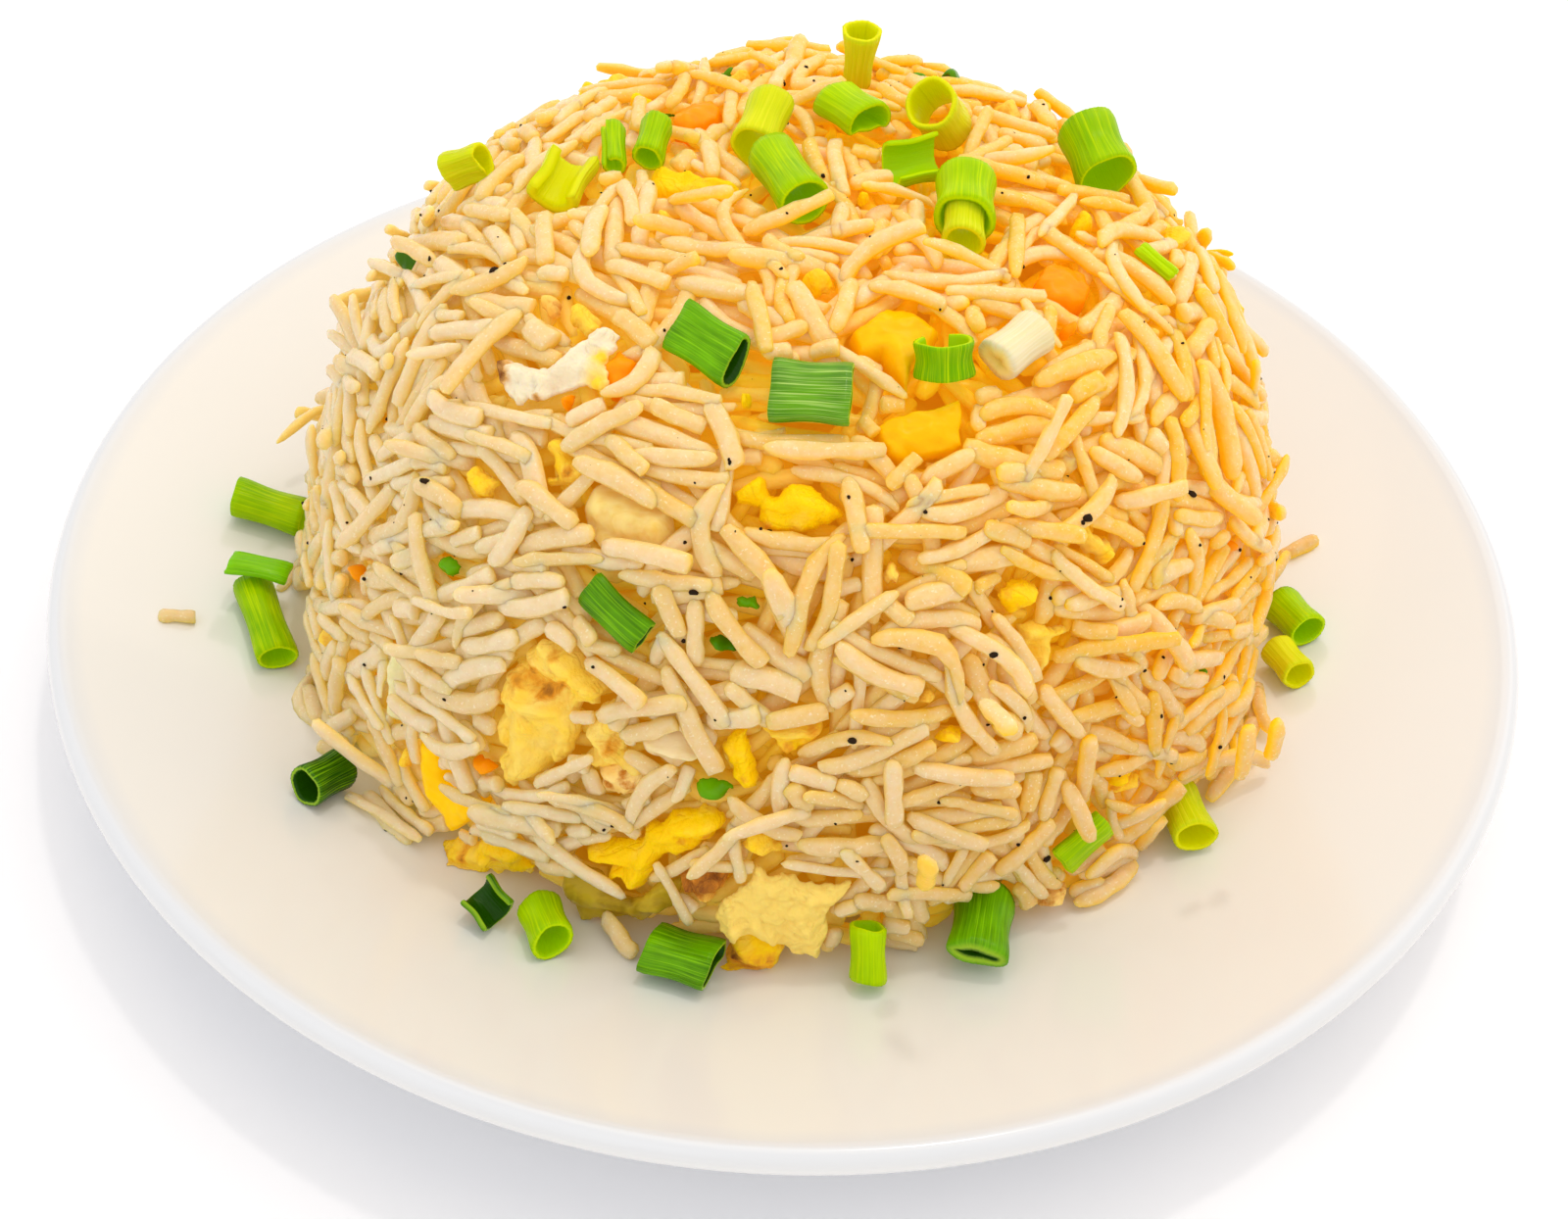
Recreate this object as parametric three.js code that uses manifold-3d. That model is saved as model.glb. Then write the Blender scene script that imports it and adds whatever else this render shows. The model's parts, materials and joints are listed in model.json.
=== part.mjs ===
// Egg fried rice on a round plate: a dome of long-grain rice, turned out of a bowl, with cut
// spring onion, scrambled egg and vegetable pieces set into it and scattered round its foot.
// Millimetres, +Z up. The origin is the centre of the plate's foot, -Y is the diner's side.

import * as THREE from 'three';
import { mergeVertices } from 'three/addons/utils/BufferGeometryUtils.js';
import Module from 'manifold-3d';

const wasm = await Module();
wasm.setup();

// Plate.
const PLATE_RADIUS = 105;
const PLATE_HEIGHT = 20.5;
const PLATE_WALL = 4.2;
const PLATE_SIDES = 52;
const WELL_RADIUS = 60;
const WELL_HEIGHT = 5.6;
const RIM_CURVE = 1.7;
const FOOT_RADIUS = 57;
const FOOT_WIDTH = 5;
const FOOT_RECESS = 1.6;
const LIP_ROUND = 1.9;

// Dome of rice: a superellipse, steep at the wall and gently pointed at the crown.
const DOME_RADIUS = 72.5;
const DOME_HEIGHT = 66.9;
const DOME_WALL_POWER = 4.6;
const DOME_CROWN_POWER = 1.2;
const DOME_BASE = 6;
const DOME_CENTRE = new THREE.Vector2(-0.8, -1);
const DOME_LEAN = 2.2;
const DOME_SIDES = 44;
const DOME_RINGS = 11;

// Toppings.
const GAP = 0.3;
const ONION_WALL = 0.85;
const ONION_SIDES = 10;
const POCKET_SIDES = 6;
const CURD_SPARE = 0.02;

const degrees = THREE.MathUtils.degToRad;

// Solids ---------------------------------------------------------------------------------

// One closed mesh with shared vertices and no triangle of zero area, as a solid to cut.
function solid(geometry) {
  const bare = geometry.clone();
  bare.deleteAttribute('normal');
  bare.deleteAttribute('uv');
  const merged = mergeVertices(bare, 1e-4);
  const corners = merged.index.array;
  const kept = [];
  for (let i = 0; i < corners.length; i += 3) {
    const [a, b, c] = corners.slice(i, i + 3);
    if (a !== b && b !== c && c !== a) kept.push(a, b, c);
  }
  return new wasm.Manifold(new wasm.Mesh({
    numProp: 3,
    vertProperties: Float32Array.from(merged.attributes.position.array),
    triVerts: Uint32Array.from(kept),
  }));
}

function geometryOf(manifold) {
  const mesh = manifold.getMesh();
  const geometry = new THREE.BufferGeometry();
  geometry.setAttribute('position', new THREE.BufferAttribute(mesh.vertProperties, 3));
  geometry.setIndex(new THREE.BufferAttribute(mesh.triVerts, 1));
  geometry.computeVertexNormals();
  return geometry;
}

// Moves every vertex of a geometry to where the function puts it.
function reshape(geometry, move) {
  const position = geometry.attributes.position;
  const point = new THREE.Vector3();
  for (let i = 0; i < position.count; i++) {
    point.fromBufferAttribute(position, i);
    move(point);
    position.setXYZ(i, point.x, point.y, point.z);
  }
  return geometry;
}

// Plate ----------------------------------------------------------------------------------

function plateTop(radius) {
  const lipRadius = PLATE_RADIUS - LIP_ROUND;
  const out = Math.max(0, (radius - WELL_RADIUS) / (lipRadius - WELL_RADIUS));
  return WELL_HEIGHT + (PLATE_HEIGHT - WELL_HEIGHT) * Math.min(1, out) ** RIM_CURVE;
}

// Stoneware coupe plate: recessed foot, flat well, rim that curves up to a rounded lip.
function plateGeometry() {
  const lipRadius = PLATE_RADIUS - LIP_ROUND;
  const footInside = FOOT_RADIUS - FOOT_WIDTH;
  const profile = [
    new THREE.Vector2(0, FOOT_RECESS),
    new THREE.Vector2(footInside - FOOT_RECESS, FOOT_RECESS),
    new THREE.Vector2(footInside, 0),
    new THREE.Vector2(FOOT_RADIUS, 0),
    new THREE.Vector2(FOOT_RADIUS + FOOT_RECESS, FOOT_RECESS),
  ];
  const rimSteps = 4;
  for (let i = 0; i < rimSteps; i++) {
    const radius = THREE.MathUtils.lerp(WELL_RADIUS + 6, lipRadius - LIP_ROUND, i / (rimSteps - 1));
    profile.push(new THREE.Vector2(radius + 1, plateTop(radius) - PLATE_WALL));
  }
  const lipSteps = 4;
  for (let i = 0; i <= lipSteps; i++) {
    const turn = degrees(THREE.MathUtils.lerp(-60, 90, i / lipSteps));
    const radius = lipRadius + LIP_ROUND * Math.cos(turn);
    profile.push(new THREE.Vector2(radius, PLATE_HEIGHT + LIP_ROUND * (Math.sin(turn) - 1)));
  }
  const topSteps = 6;
  for (let i = 1; i <= topSteps; i++) {
    const radius = THREE.MathUtils.lerp(lipRadius, WELL_RADIUS, i / topSteps);
    profile.push(new THREE.Vector2(radius, plateTop(radius)));
  }
  profile.push(new THREE.Vector2(0, WELL_HEIGHT));
  return new THREE.LatheGeometry(profile, PLATE_SIDES).rotateX(Math.PI / 2);
}

// Dome of rice ---------------------------------------------------------------------------

// Distance from the centre of the dome's base to its smooth surface, up a given climb.
function domeReach(climb) {
  const flat = Math.cos(climb) / DOME_RADIUS;
  const rise = Math.max(0, Math.sin(climb)) / DOME_HEIGHT;
  let near = 0;
  let far = DOME_RADIUS + DOME_HEIGHT;
  for (let i = 0; i < 40; i++) {
    const reach = (near + far) / 2;
    const fill = (reach * flat) ** DOME_WALL_POWER + (reach * rise) ** DOME_CROWN_POWER;
    if (fill < 1) near = reach;
    else far = reach;
  }
  return near;
}

// How far the packed grains bulge past the smooth dome, or fall short of it.
function bulge(azimuth, climb) {
  const broad = 0.6 * Math.sin(3 * azimuth + 4 * climb + 0.7);
  const middling = 0.5 * Math.sin(7 * azimuth - 5 * climb + 2.1);
  const small = 0.35 * Math.sin(13 * azimuth + 9 * climb);
  return (broad + middling + small) * Math.cos(climb);
}

// Azimuth is 0 on the diner's side and grows to the right, climb is 90 degrees at the crown.
function domePoint(azimuth, climb) {
  const reach = domeReach(climb) + bulge(azimuth, climb);
  const height = reach * Math.sin(climb);
  const out = reach * Math.cos(climb);
  return new THREE.Vector3(
    DOME_CENTRE.x + DOME_LEAN * height / DOME_HEIGHT + out * Math.sin(azimuth),
    DOME_CENTRE.y - out * Math.cos(azimuth),
    DOME_BASE + height,
  );
}

// The heap follows the plate below and stands a gap above it.
function domeGeometry() {
  const profile = [
    new THREE.Vector2(0, 0),
    new THREE.Vector2(WELL_RADIUS - 2, 0),
    new THREE.Vector2(DOME_RADIUS - 4, 0),
  ];
  for (let i = 0; i <= DOME_RINGS; i++) {
    const climb = degrees(90) * (i / DOME_RINGS) ** 1.1;
    const reach = domeReach(climb);
    profile.push(new THREE.Vector2(i < DOME_RINGS ? reach * Math.cos(climb) : 0, reach * Math.sin(climb)));
  }
  const geometry = new THREE.LatheGeometry(profile, DOME_SIDES).rotateX(Math.PI / 2);
  return reshape(geometry, (point) => {
    const out = Math.hypot(point.x, point.y);
    const onFoot = point.z < 0.01;
    const azimuth = Math.atan2(point.x, -point.y);
    const climb = Math.atan2(point.z, out);
    if (out >= DOME_RADIUS - 1 || !onFoot) {
      point.copy(domePoint(azimuth, climb));
    } else {
      point.x += DOME_CENTRE.x;
      point.y += DOME_CENTRE.y;
    }
    if (onFoot) point.z = plateTop(Math.hypot(point.x, point.y)) + GAP;
  });
}

// Seats ----------------------------------------------------------------------------------

// A seat is where a piece lies: its own x runs along the piece and its z points away from
// what carries it. Spin turns x in the surface, tilt lifts its far end, roll turns about x,
// lift is the height of the piece's middle and along pushes the piece on along its x.
function seat(point, across, outward, { spin = 0, tilt = 0, roll = 0, lift = 0, along = 0 }) {
  const basis = new THREE.Matrix4().makeBasis(
    across, new THREE.Vector3().crossVectors(outward, across), outward,
  );
  const turn = new THREE.Matrix4().makeRotationZ(degrees(spin))
    .multiply(new THREE.Matrix4().makeRotationY(degrees(-tilt)))
    .multiply(new THREE.Matrix4().makeRotationX(degrees(roll)));
  const place = basis.multiply(turn);
  const ahead = new THREE.Vector3().setFromMatrixColumn(place, 0).multiplyScalar(along);
  return place.setPosition(point.clone().addScaledVector(outward, lift).add(ahead));
}

// On the dome spin 0 points to the right round the dome and spin 90 up its slope.
function onDome(azimuthDegrees, climbDegrees, pose = {}) {
  const azimuth = degrees(azimuthDegrees);
  const climb = degrees(climbDegrees);
  const step = 0.03;
  const point = domePoint(azimuth, climb);
  const round = new THREE.Vector3(Math.cos(azimuth), Math.sin(azimuth), 0);
  const reach = domeReach(climb);
  const above = domeReach(climb + step);
  const rise = new THREE.Vector2(
    above * Math.cos(climb + step) - reach * Math.cos(climb),
    above * Math.sin(climb + step) - reach * Math.sin(climb),
  ).normalize();
  const upSlope = new THREE.Vector3(rise.x * Math.sin(azimuth), -rise.x * Math.cos(azimuth), rise.y);
  const outward = new THREE.Vector3().crossVectors(round, upSlope);
  return seat(point, round, outward, pose);
}

// On the plate spin 0 points to the diner's right and spin 90 away from the diner.
function onPlate(x, y, pose = {}) {
  const radius = Math.hypot(x, y);
  const slope = plateTop(radius + 0.5) - plateTop(radius - 0.5);
  const outward = new THREE.Vector3(-slope * x / radius, -slope * y / radius, 1).normalize();
  const toRight = new THREE.Vector3(1, 0, 0).addScaledVector(outward, -outward.x).normalize();
  return seat(new THREE.Vector3(x, y, plateTop(radius) + GAP), toRight, outward, pose);
}

// Shapes of the cut food, each along its own x and about its own centre. With a swell they
// give the plain outer form, that much larger all round, which the rice leaves free.

// A cut length of spring onion: a hollow leaf, round or pressed flat, whole or slit open.
function onion(size, swell = 0) {
  const { length, wide, high = wide, slit = 0, bow = 0 } = size;
  const isPocket = swell > 0;
  const sides = isPocket ? POCKET_SIDES : ONION_SIDES;
  const corner = isPocket ? Math.cos(Math.PI / sides) : 1;
  const radiusY = (wide / 2 + swell) / corner;
  const radiusZ = (high / 2 + swell) / corner;
  const wall = Math.min(ONION_WALL, radiusZ * 0.45);
  const section = new THREE.Shape();
  if (slit > 0 && !isPocket) {
    const from = degrees(90 + slit / 2);
    const to = degrees(450 - slit / 2);
    section.absellipse(0, 0, radiusY, radiusZ, from, to, false);
    section.absellipse(0, 0, radiusY - wall, radiusZ - wall, to, from, true);
    section.closePath();
  } else {
    section.absellipse(0, 0, radiusY, radiusZ, 0, degrees(360), false);
  }
  if (slit === 0 && !isPocket) {
    const bore = new THREE.Path();
    bore.absellipse(0, 0, radiusY - wall, radiusZ - wall, 0, degrees(360), true);
    section.holes.push(bore);
  }
  const run = length + 2 * swell;
  const geometry = new THREE.ExtrudeGeometry(section, {
    depth: run,
    steps: bow ? 2 : 1,
    curveSegments: sides / 2,
    bevelEnabled: false,
  });
  geometry.translate(0, 0, -run / 2).rotateX(Math.PI / 2).rotateZ(Math.PI / 2);
  return reshape(geometry, (point) => {
    point.z -= bow * (2 * point.x / length) ** 2;
  });
}

// A curd of scrambled egg or a limp leaf: a rounded slab with lobes and a folded middle.
function curd(size, swell = 0) {
  const { length, wide, thick, lobes = 0.16, fold = 0.5, seed = 0, fine = 1 } = size;
  const spare = swell > 0 ? swell + CURD_SPARE * length : 0;
  const geometry = new THREE.IcosahedronGeometry(1, fine);
  return reshape(geometry, (point) => {
    const turn = Math.atan2(point.y, point.x);
    const outline = 1
      + lobes * Math.sin(3 * turn + seed)
      + 0.6 * lobes * Math.sin(5 * turn + 2.3 * seed)
      + 0.5 * lobes * Math.cos(2 * turn + 1.7 * seed);
    const x = point.x * (length / 2) * outline;
    const y = point.y * (wide / 2) * outline;
    const wave = Math.sin(x * 5 / length + seed) * Math.cos(y * 3 / wide + seed);
    point.set(x, y, point.z * thick / 2 + fold * thick * wave);
    const outward = new THREE.Vector3(x, y, 0).normalize();
    point.addScaledVector(outward, spare);
    point.z += spare * Math.sign(point.z - fold * thick * wave);
  });
}

// A diced vegetable: a block with its edges taken off, a little skewed by the knife.
function dice(size, swell = 0) {
  const { length, wide, thick, skew = 0.12 } = size;
  const edge = 0.18 * Math.min(length, wide, thick);
  const halfLength = length / 2 - edge;
  const halfWide = wide / 2 - edge;
  const face = new THREE.Shape([
    new THREE.Vector2(-halfLength, -halfWide * (1 - skew)),
    new THREE.Vector2(halfLength * (1 - skew), -halfWide),
    new THREE.Vector2(halfLength, halfWide * (1 - skew)),
    new THREE.Vector2(-halfLength * (1 + skew), halfWide),
  ]);
  const geometry = new THREE.ExtrudeGeometry(face, {
    depth: thick - 2 * edge,
    steps: 1,
    bevelEnabled: true,
    bevelSize: edge,
    bevelThickness: edge,
    bevelSegments: 1,
  });
  geometry.translate(0, 0, edge - thick / 2);
  return reshape(geometry, (point) => {
    point.x += swell * Math.sign(point.x);
    point.y += swell * Math.sign(point.y);
    point.z += swell * Math.sign(point.z);
  });
}

// Materials ------------------------------------------------------------------------------

function finish(colour, roughness) {
  return new THREE.MeshStandardMaterial({ color: colour, roughness, metalness: 0 });
}

const glaze = finish('#efe6da', 0.25);
const grain = finish('#ecd2a6', 0.5);
const green = finish('#6fae1f', 0.4);
const darkGreen = finish('#2f7d1c', 0.4);
const paleGreen = finish('#b9dc5a', 0.4);
const eggYellow = finish('#f4c53a', 0.55);
const eggWhite = finish('#f6ecd8', 0.5);
const eggBrown = finish('#b5722a', 0.6);
const pepper = finish('#f7b921', 0.35);
const carrot = finish('#f39222', 0.45);
const onionFlesh = finish('#ecdfa8', 0.4);
const cabbageLeaf = finish('#dfe6b4', 0.45);

// The pieces -----------------------------------------------------------------------------

const pieces = [];

function place(name, shape, material, size, where) {
  pieces.push({ name, shape, material, size, where });
}

// Spring onion on the crown and the back of the dome.
place('spring_onion_upright', onion, paleGreen, { length: 8.8, wide: 3.9 },
  onDome(172, 66, { spin: 98, tilt: 72, lift: 3 }));
place('spring_onion_back_left', onion, green, { length: 7.8, wide: 6.2, high: 5.4 },
  onDome(167, 77.5, { spin: 140, tilt: 2, lift: 1.8 }));
place('spring_onion_ring_back', onion, paleGreen, { length: 8, wide: 6.6 },
  onDome(132.5, 73.5, { spin: 105, tilt: 43, lift: 3 }));
place('spring_onion_split_back', onion, green, { length: 7.4, wide: 6.2, high: 5, slit: 130 },
  onDome(109, 79.5, { spin: -83, roll: 25, lift: 1.2 }));
place('spring_onion_outer', onion, green, { length: 7, wide: 7.3 },
  onDome(68.5, 74.5, { spin: -161, tilt: -10, lift: 2.3 }));
place('spring_onion_inner', onion, paleGreen, { length: 6.4, wide: 5 },
  onDome(68.5, 74.5, { spin: -161, tilt: -10, lift: 2.3, along: 4.2 }));
place('spring_onion_right', onion, green, { length: 8.2, wide: 7.6 },
  onDome(107, 60.5, { spin: -172, tilt: -18, lift: 2.6 }));
place('spring_onion_crown_pale', onion, paleGreen, { length: 8.4, wide: 6, high: 5.6 },
  onDome(-139, 79.5, { spin: 36, tilt: -14, lift: 2 }));
place('spring_onion_crown_long', onion, green, { length: 12.4, wide: 6.4, high: 6 },
  onDome(-56, 85.5, { spin: -12, tilt: 2, lift: 1.6 }));
place('spring_onion_left_pale', onion, paleGreen, { length: 7.4, wide: 6.6, high: 5, slit: 120 },
  onDome(-84.5, 64, { spin: -24, tilt: -10, roll: 165, lift: 1.4 }));
place('spring_onion_twin_thin', onion, green, { length: 7, wide: 2.9, slit: 50 },
  onDome(-98.5, 68, { spin: 15, tilt: -15, roll: 60, lift: 1 }));
place('spring_onion_twin_thick', onion, green, { length: 6.4, wide: 4.1 },
  onDome(-103, 71.5, { spin: 6, tilt: -15, lift: 1.2 }));
place('spring_onion_left_edge', onion, paleGreen, { length: 5.8, wide: 4.8 },
  onDome(-96, 53.5, { spin: 82, tilt: -4, lift: 3.2 }));

// Spring onion on the front of the dome.
place('spring_onion_folded', onion, darkGreen, { length: 9.4, wide: 6, high: 4, slit: 70 },
  onDome(-19.5, 61, { spin: -21, tilt: 2, roll: 20, lift: 1 }));
place('spring_onion_pressed', onion, darkGreen, { length: 8.8, wide: 7.6, high: 4.2 },
  onDome(0, 58, { spin: -1, tilt: 2, lift: 0.9 }));
place('spring_onion_ring_front', onion, green, { length: 4, wide: 6.6, slit: 60 },
  onDome(22.5, 60, { spin: 85, tilt: 50, lift: 1.7 }));
place('spring_onion_white', onion, onionFlesh, { length: 7.4, wide: 5.2, high: 4.6 },
  onDome(36.5, 59.5, { spin: 13, tilt: 2, lift: 1.2 }));
place('spring_onion_shred', onion, green, { length: 5.6, wide: 2.2, high: 1.6 },
  onDome(79, 56, { spin: -107, lift: 0.3 }));
place('spring_onion_leaf_front', onion, darkGreen, { length: 8.4, wide: 4.2, high: 2, bow: 0.5 },
  onDome(-19, 37, { spin: -27, lift: 0.2 }));
place('spring_onion_leaf_low', onion, green, { length: 7.4, wide: 5.4, high: 2.4 },
  onDome(33.5, 9.5, { spin: 24, lift: 0.2 }));

// Spring onion on the plate, from the left round the front to the right.
place('spring_onion_plate_left', onion, green, { length: 10.4, wide: 6.6, high: 5.6 },
  onPlate(-80, -2, { spin: -2, lift: 2.9 }));
place('spring_onion_plate_over', onion, darkGreen, { length: 8.4, wide: 4.6, high: 1.8, bow: 0.4 },
  onPlate(-77.5, -19, { spin: 5, tilt: 3, lift: 6.7 }));
place('spring_onion_plate_under', onion, green, { length: 15, wide: 5.6, high: 4.6 },
  onPlate(-74.5, -25, { spin: -60, lift: 2.4 }));
place('spring_onion_plate_dark', onion, darkGreen, { length: 6.4, wide: 5.2 },
  onPlate(-59, -53, { spin: 58, lift: 2.7 }));
place('spring_onion_plate_cup', onion, darkGreen, { length: 4.6, wide: 5, slit: 60 },
  onPlate(-34.4, -71.4, { spin: 148, tilt: 25, roll: 90, lift: 3.4 }));
place('spring_onion_plate_short', onion, green, { length: 6.4, wide: 5.2 },
  onPlate(-27, -73, { spin: -65, lift: 2.7 }));
place('spring_onion_plate_front', onion, darkGreen, { length: 8.4, wide: 7.4, high: 5 },
  onPlate(-10, -76, { spin: -16, lift: 2.6 }));
place('spring_onion_plate_thin', onion, green, { length: 6.8, wide: 4.4 },
  onPlate(12.5, -75.5, { spin: 94, tilt: 70, lift: 4.3 }));
place('spring_onion_plate_big', onion, darkGreen, { length: 10, wide: 7.4 },
  onPlate(26.5, -70, { spin: -100, lift: 3.8 }));
place('spring_onion_plate_right', onion, green, { length: 9, wide: 6 },
  onPlate(54.5, -49.5, { spin: -80, lift: 3.1 }));
place('spring_onion_plate_far', onion, green, { length: 7.8, wide: 5.8, high: 5 },
  onPlate(76, -11, { spin: -68, lift: 2.6 }));
place('spring_onion_plate_pale', onion, paleGreen, { length: 6.4, wide: 5, high: 4.6 },
  onPlate(73.5, -20.3, { spin: -71, lift: 2.4 }));

// Scrambled egg: folded curds, some browned, and the set white.
place('egg_white_star', curd, eggWhite,
  { length: 14.5, wide: 6.6, thick: 2.2, lobes: 0.24, seed: 1.1, fine: 2 },
  onDome(-41, 53.5, { spin: 55, lift: 0.8 }));
place('egg_yellow_front', curd, eggYellow, { length: 12, wide: 5.4, thick: 3, seed: 2 },
  onDome(-2, 48.5, { spin: -5, lift: 0.2 }));
place('egg_folded_tall', curd, eggYellow, { length: 19, wide: 8, thick: 4.2, seed: 0.4, fine: 2 },
  onDome(-26, 24, { spin: -77 }));
place('egg_folded_side', curd, eggYellow, { length: 10.5, wide: 5.8, thick: 3.6, seed: 3.1 },
  onDome(-17.5, 25.5, { spin: -60 }));
place('egg_strip', curd, eggYellow, { length: 18.5, wide: 5.2, thick: 3, seed: 5.2 },
  onDome(-11, 14, { spin: 40, lift: 0.4 }));
place('egg_sheet', curd, eggYellow, { length: 15, wide: 10, thick: 2.6, lobes: 0.1, seed: 4, fine: 2 },
  onDome(2.6, 9.2, { spin: -18, lift: 0.8 }));
place('egg_golden', curd, eggYellow, { length: 7.4, wide: 4, thick: 3, seed: 1.8 },
  onDome(-0.5, 4, { spin: 10, lift: 1 }));
place('egg_browned', curd, eggBrown, { length: 5.8, wide: 4.6, thick: 3.4, seed: 2.6 },
  onDome(-6.6, 9.4, { spin: 20, lift: 0.2 }));
place('egg_brown_edged', curd, eggYellow, { length: 7, wide: 4.6, thick: 3, seed: 0.9 },
  onDome(-15.5, 20, { spin: 7 }));
place('egg_right', curd, eggYellow, { length: 7.4, wide: 4, thick: 2.6, seed: 3.7 },
  onDome(29.5, 32, { spin: -121, lift: 0.2 }));
place('egg_left', curd, eggYellow, { length: 6.6, wide: 4.6, thick: 2.8, seed: 4.6 },
  onDome(-31.5, 47, { spin: 72 }));
place('egg_stick', curd, eggYellow, { length: 7.6, wide: 2.6, thick: 2.2, lobes: 0.05, seed: 5.8 },
  onDome(-3.3, 25.5, { spin: -81, lift: 0.3 }));
place('egg_curl', curd, eggYellow, { length: 7.4, wide: 3.8, thick: 2.4, seed: 0.2 },
  onDome(1.8, 28, { spin: 30, lift: 0.3 }));
place('egg_base_left', curd, eggYellow, { length: 13, wide: 4.4, thick: 3.2, seed: 2.9 },
  onDome(-31, 4.6, { spin: 12, lift: 0.6 }));
place('egg_small_right', curd, eggYellow, { length: 7, wide: 4, thick: 2.4, seed: 1.4 },
  onDome(37.5, 41, { spin: -54, lift: 0.1 }));
place('egg_back_left', curd, eggYellow, { length: 9.6, wide: 4, thick: 2.4, seed: 5.5 },
  onDome(-87, 76.5, { spin: 66, lift: 0.1 }));

// Diced vegetables and softened leaves.
place('yellow_pepper_top', dice, pepper, { length: 8.8, wide: 6.6, thick: 3.2 },
  onDome(15.5, 65.5, { spin: -21, lift: -1 }));
place('yellow_pepper_front', dice, pepper, { length: 9.6, wide: 6.4, thick: 3.4 },
  onDome(17, 54.5, { spin: -9, lift: -0.3 }));
place('yellow_pepper_left', dice, pepper, { length: 11.4, wide: 5, thick: 3.4 },
  onDome(-36.5, 10.5, { spin: -46, lift: 0.2 }));
place('carrot_right', dice, carrot, { length: 6, wide: 4.8, thick: 3.6 },
  onDome(60, 62.5, { spin: -48, lift: 0.1 }));
place('carrot_back', dice, carrot, { length: 10, wide: 5.6, thick: 3.4, skew: 0.3 },
  onDome(-134, 70.5, { spin: -165, lift: 0.3 }));
place('carrot_left', dice, carrot, { length: 5, wide: 4.2, thick: 3 },
  onDome(-31.5, 56.5, { spin: 45, lift: -1.4 }));
place('white_onion_left', curd, onionFlesh,
  { length: 11, wide: 6, thick: 2.6, lobes: 0.08, fold: 0.3, seed: 2.2 },
  onDome(-21, 44.5, { spin: 12, lift: -0.1 }));
place('white_onion_low', curd, onionFlesh,
  { length: 10.5, wide: 5, thick: 2.4, lobes: 0.08, fold: 0.3, seed: 3.3 },
  onDome(-9.5, 27, { spin: 31, lift: -0.1 }));
place('cabbage_left', curd, cabbageLeaf, { length: 11.4, wide: 5.6, thick: 2.2, lobes: 0.12, seed: 4.4 },
  onDome(-45.5, 17, { spin: 3 }));
place('cabbage_low', curd, cabbageLeaf, { length: 10, wide: 4.4, thick: 2.2, lobes: 0.1, seed: 1.9 },
  onDome(-16, 6.5, { spin: -4, lift: 0.2 }));

// Assembly -------------------------------------------------------------------------------

let rice = solid(domeGeometry());
for (const piece of pieces) {
  const pocket = piece.shape(piece.size, GAP).applyMatrix4(piece.where);
  rice = rice.subtract(solid(pocket));
}

const friedRice = new THREE.Group();

const plate = new THREE.Mesh(geometryOf(solid(plateGeometry())), glaze);
plate.name = 'plate';
friedRice.add(plate);

const mound = new THREE.Mesh(geometryOf(rice), grain);
mound.name = 'rice_mound';
friedRice.add(mound);

for (const piece of pieces) {
  const mesh = new THREE.Mesh(geometryOf(solid(piece.shape(piece.size))), piece.material);
  mesh.name = piece.name;
  mesh.applyMatrix4(piece.where);
  friedRice.add(mesh);
}

export default friedRice;
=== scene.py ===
"""Egg fried rice on a round stoneware plate: a bowl-shaped heap of long-grain rice with cut
spring onion, scrambled egg and diced vegetables. Metres, +Z up, the diner sits at -Y."""

import json
import math

import bmesh
import bpy
import numpy as np
from mathutils import Matrix, Vector, geometry, noise
from mathutils.bvhtree import BVHTree

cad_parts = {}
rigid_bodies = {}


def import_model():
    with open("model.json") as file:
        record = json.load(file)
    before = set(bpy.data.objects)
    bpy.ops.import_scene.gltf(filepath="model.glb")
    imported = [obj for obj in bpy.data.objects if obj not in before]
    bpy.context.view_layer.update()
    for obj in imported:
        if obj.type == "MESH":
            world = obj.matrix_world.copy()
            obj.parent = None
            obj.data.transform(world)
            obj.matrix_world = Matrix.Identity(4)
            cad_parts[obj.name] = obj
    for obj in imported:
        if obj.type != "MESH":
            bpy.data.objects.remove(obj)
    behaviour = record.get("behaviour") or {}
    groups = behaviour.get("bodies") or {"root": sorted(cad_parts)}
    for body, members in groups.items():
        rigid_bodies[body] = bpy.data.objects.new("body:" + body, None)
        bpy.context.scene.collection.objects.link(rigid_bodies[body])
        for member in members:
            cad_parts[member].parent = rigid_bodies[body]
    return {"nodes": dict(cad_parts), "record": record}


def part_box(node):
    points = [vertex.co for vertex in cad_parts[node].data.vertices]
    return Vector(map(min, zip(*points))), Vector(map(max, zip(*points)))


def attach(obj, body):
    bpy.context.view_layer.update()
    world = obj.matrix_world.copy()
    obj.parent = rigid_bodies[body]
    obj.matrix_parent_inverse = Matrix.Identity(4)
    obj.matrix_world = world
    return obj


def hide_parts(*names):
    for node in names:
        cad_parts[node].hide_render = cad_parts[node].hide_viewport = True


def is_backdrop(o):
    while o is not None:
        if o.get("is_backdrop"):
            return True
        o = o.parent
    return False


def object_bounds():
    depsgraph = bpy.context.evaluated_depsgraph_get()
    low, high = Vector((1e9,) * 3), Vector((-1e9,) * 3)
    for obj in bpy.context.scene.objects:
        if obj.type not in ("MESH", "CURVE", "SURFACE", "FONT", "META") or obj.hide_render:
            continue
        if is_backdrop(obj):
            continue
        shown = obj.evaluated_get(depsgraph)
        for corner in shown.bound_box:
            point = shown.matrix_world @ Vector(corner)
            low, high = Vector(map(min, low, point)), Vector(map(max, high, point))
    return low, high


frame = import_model()
cad_low, cad_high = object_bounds()

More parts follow.
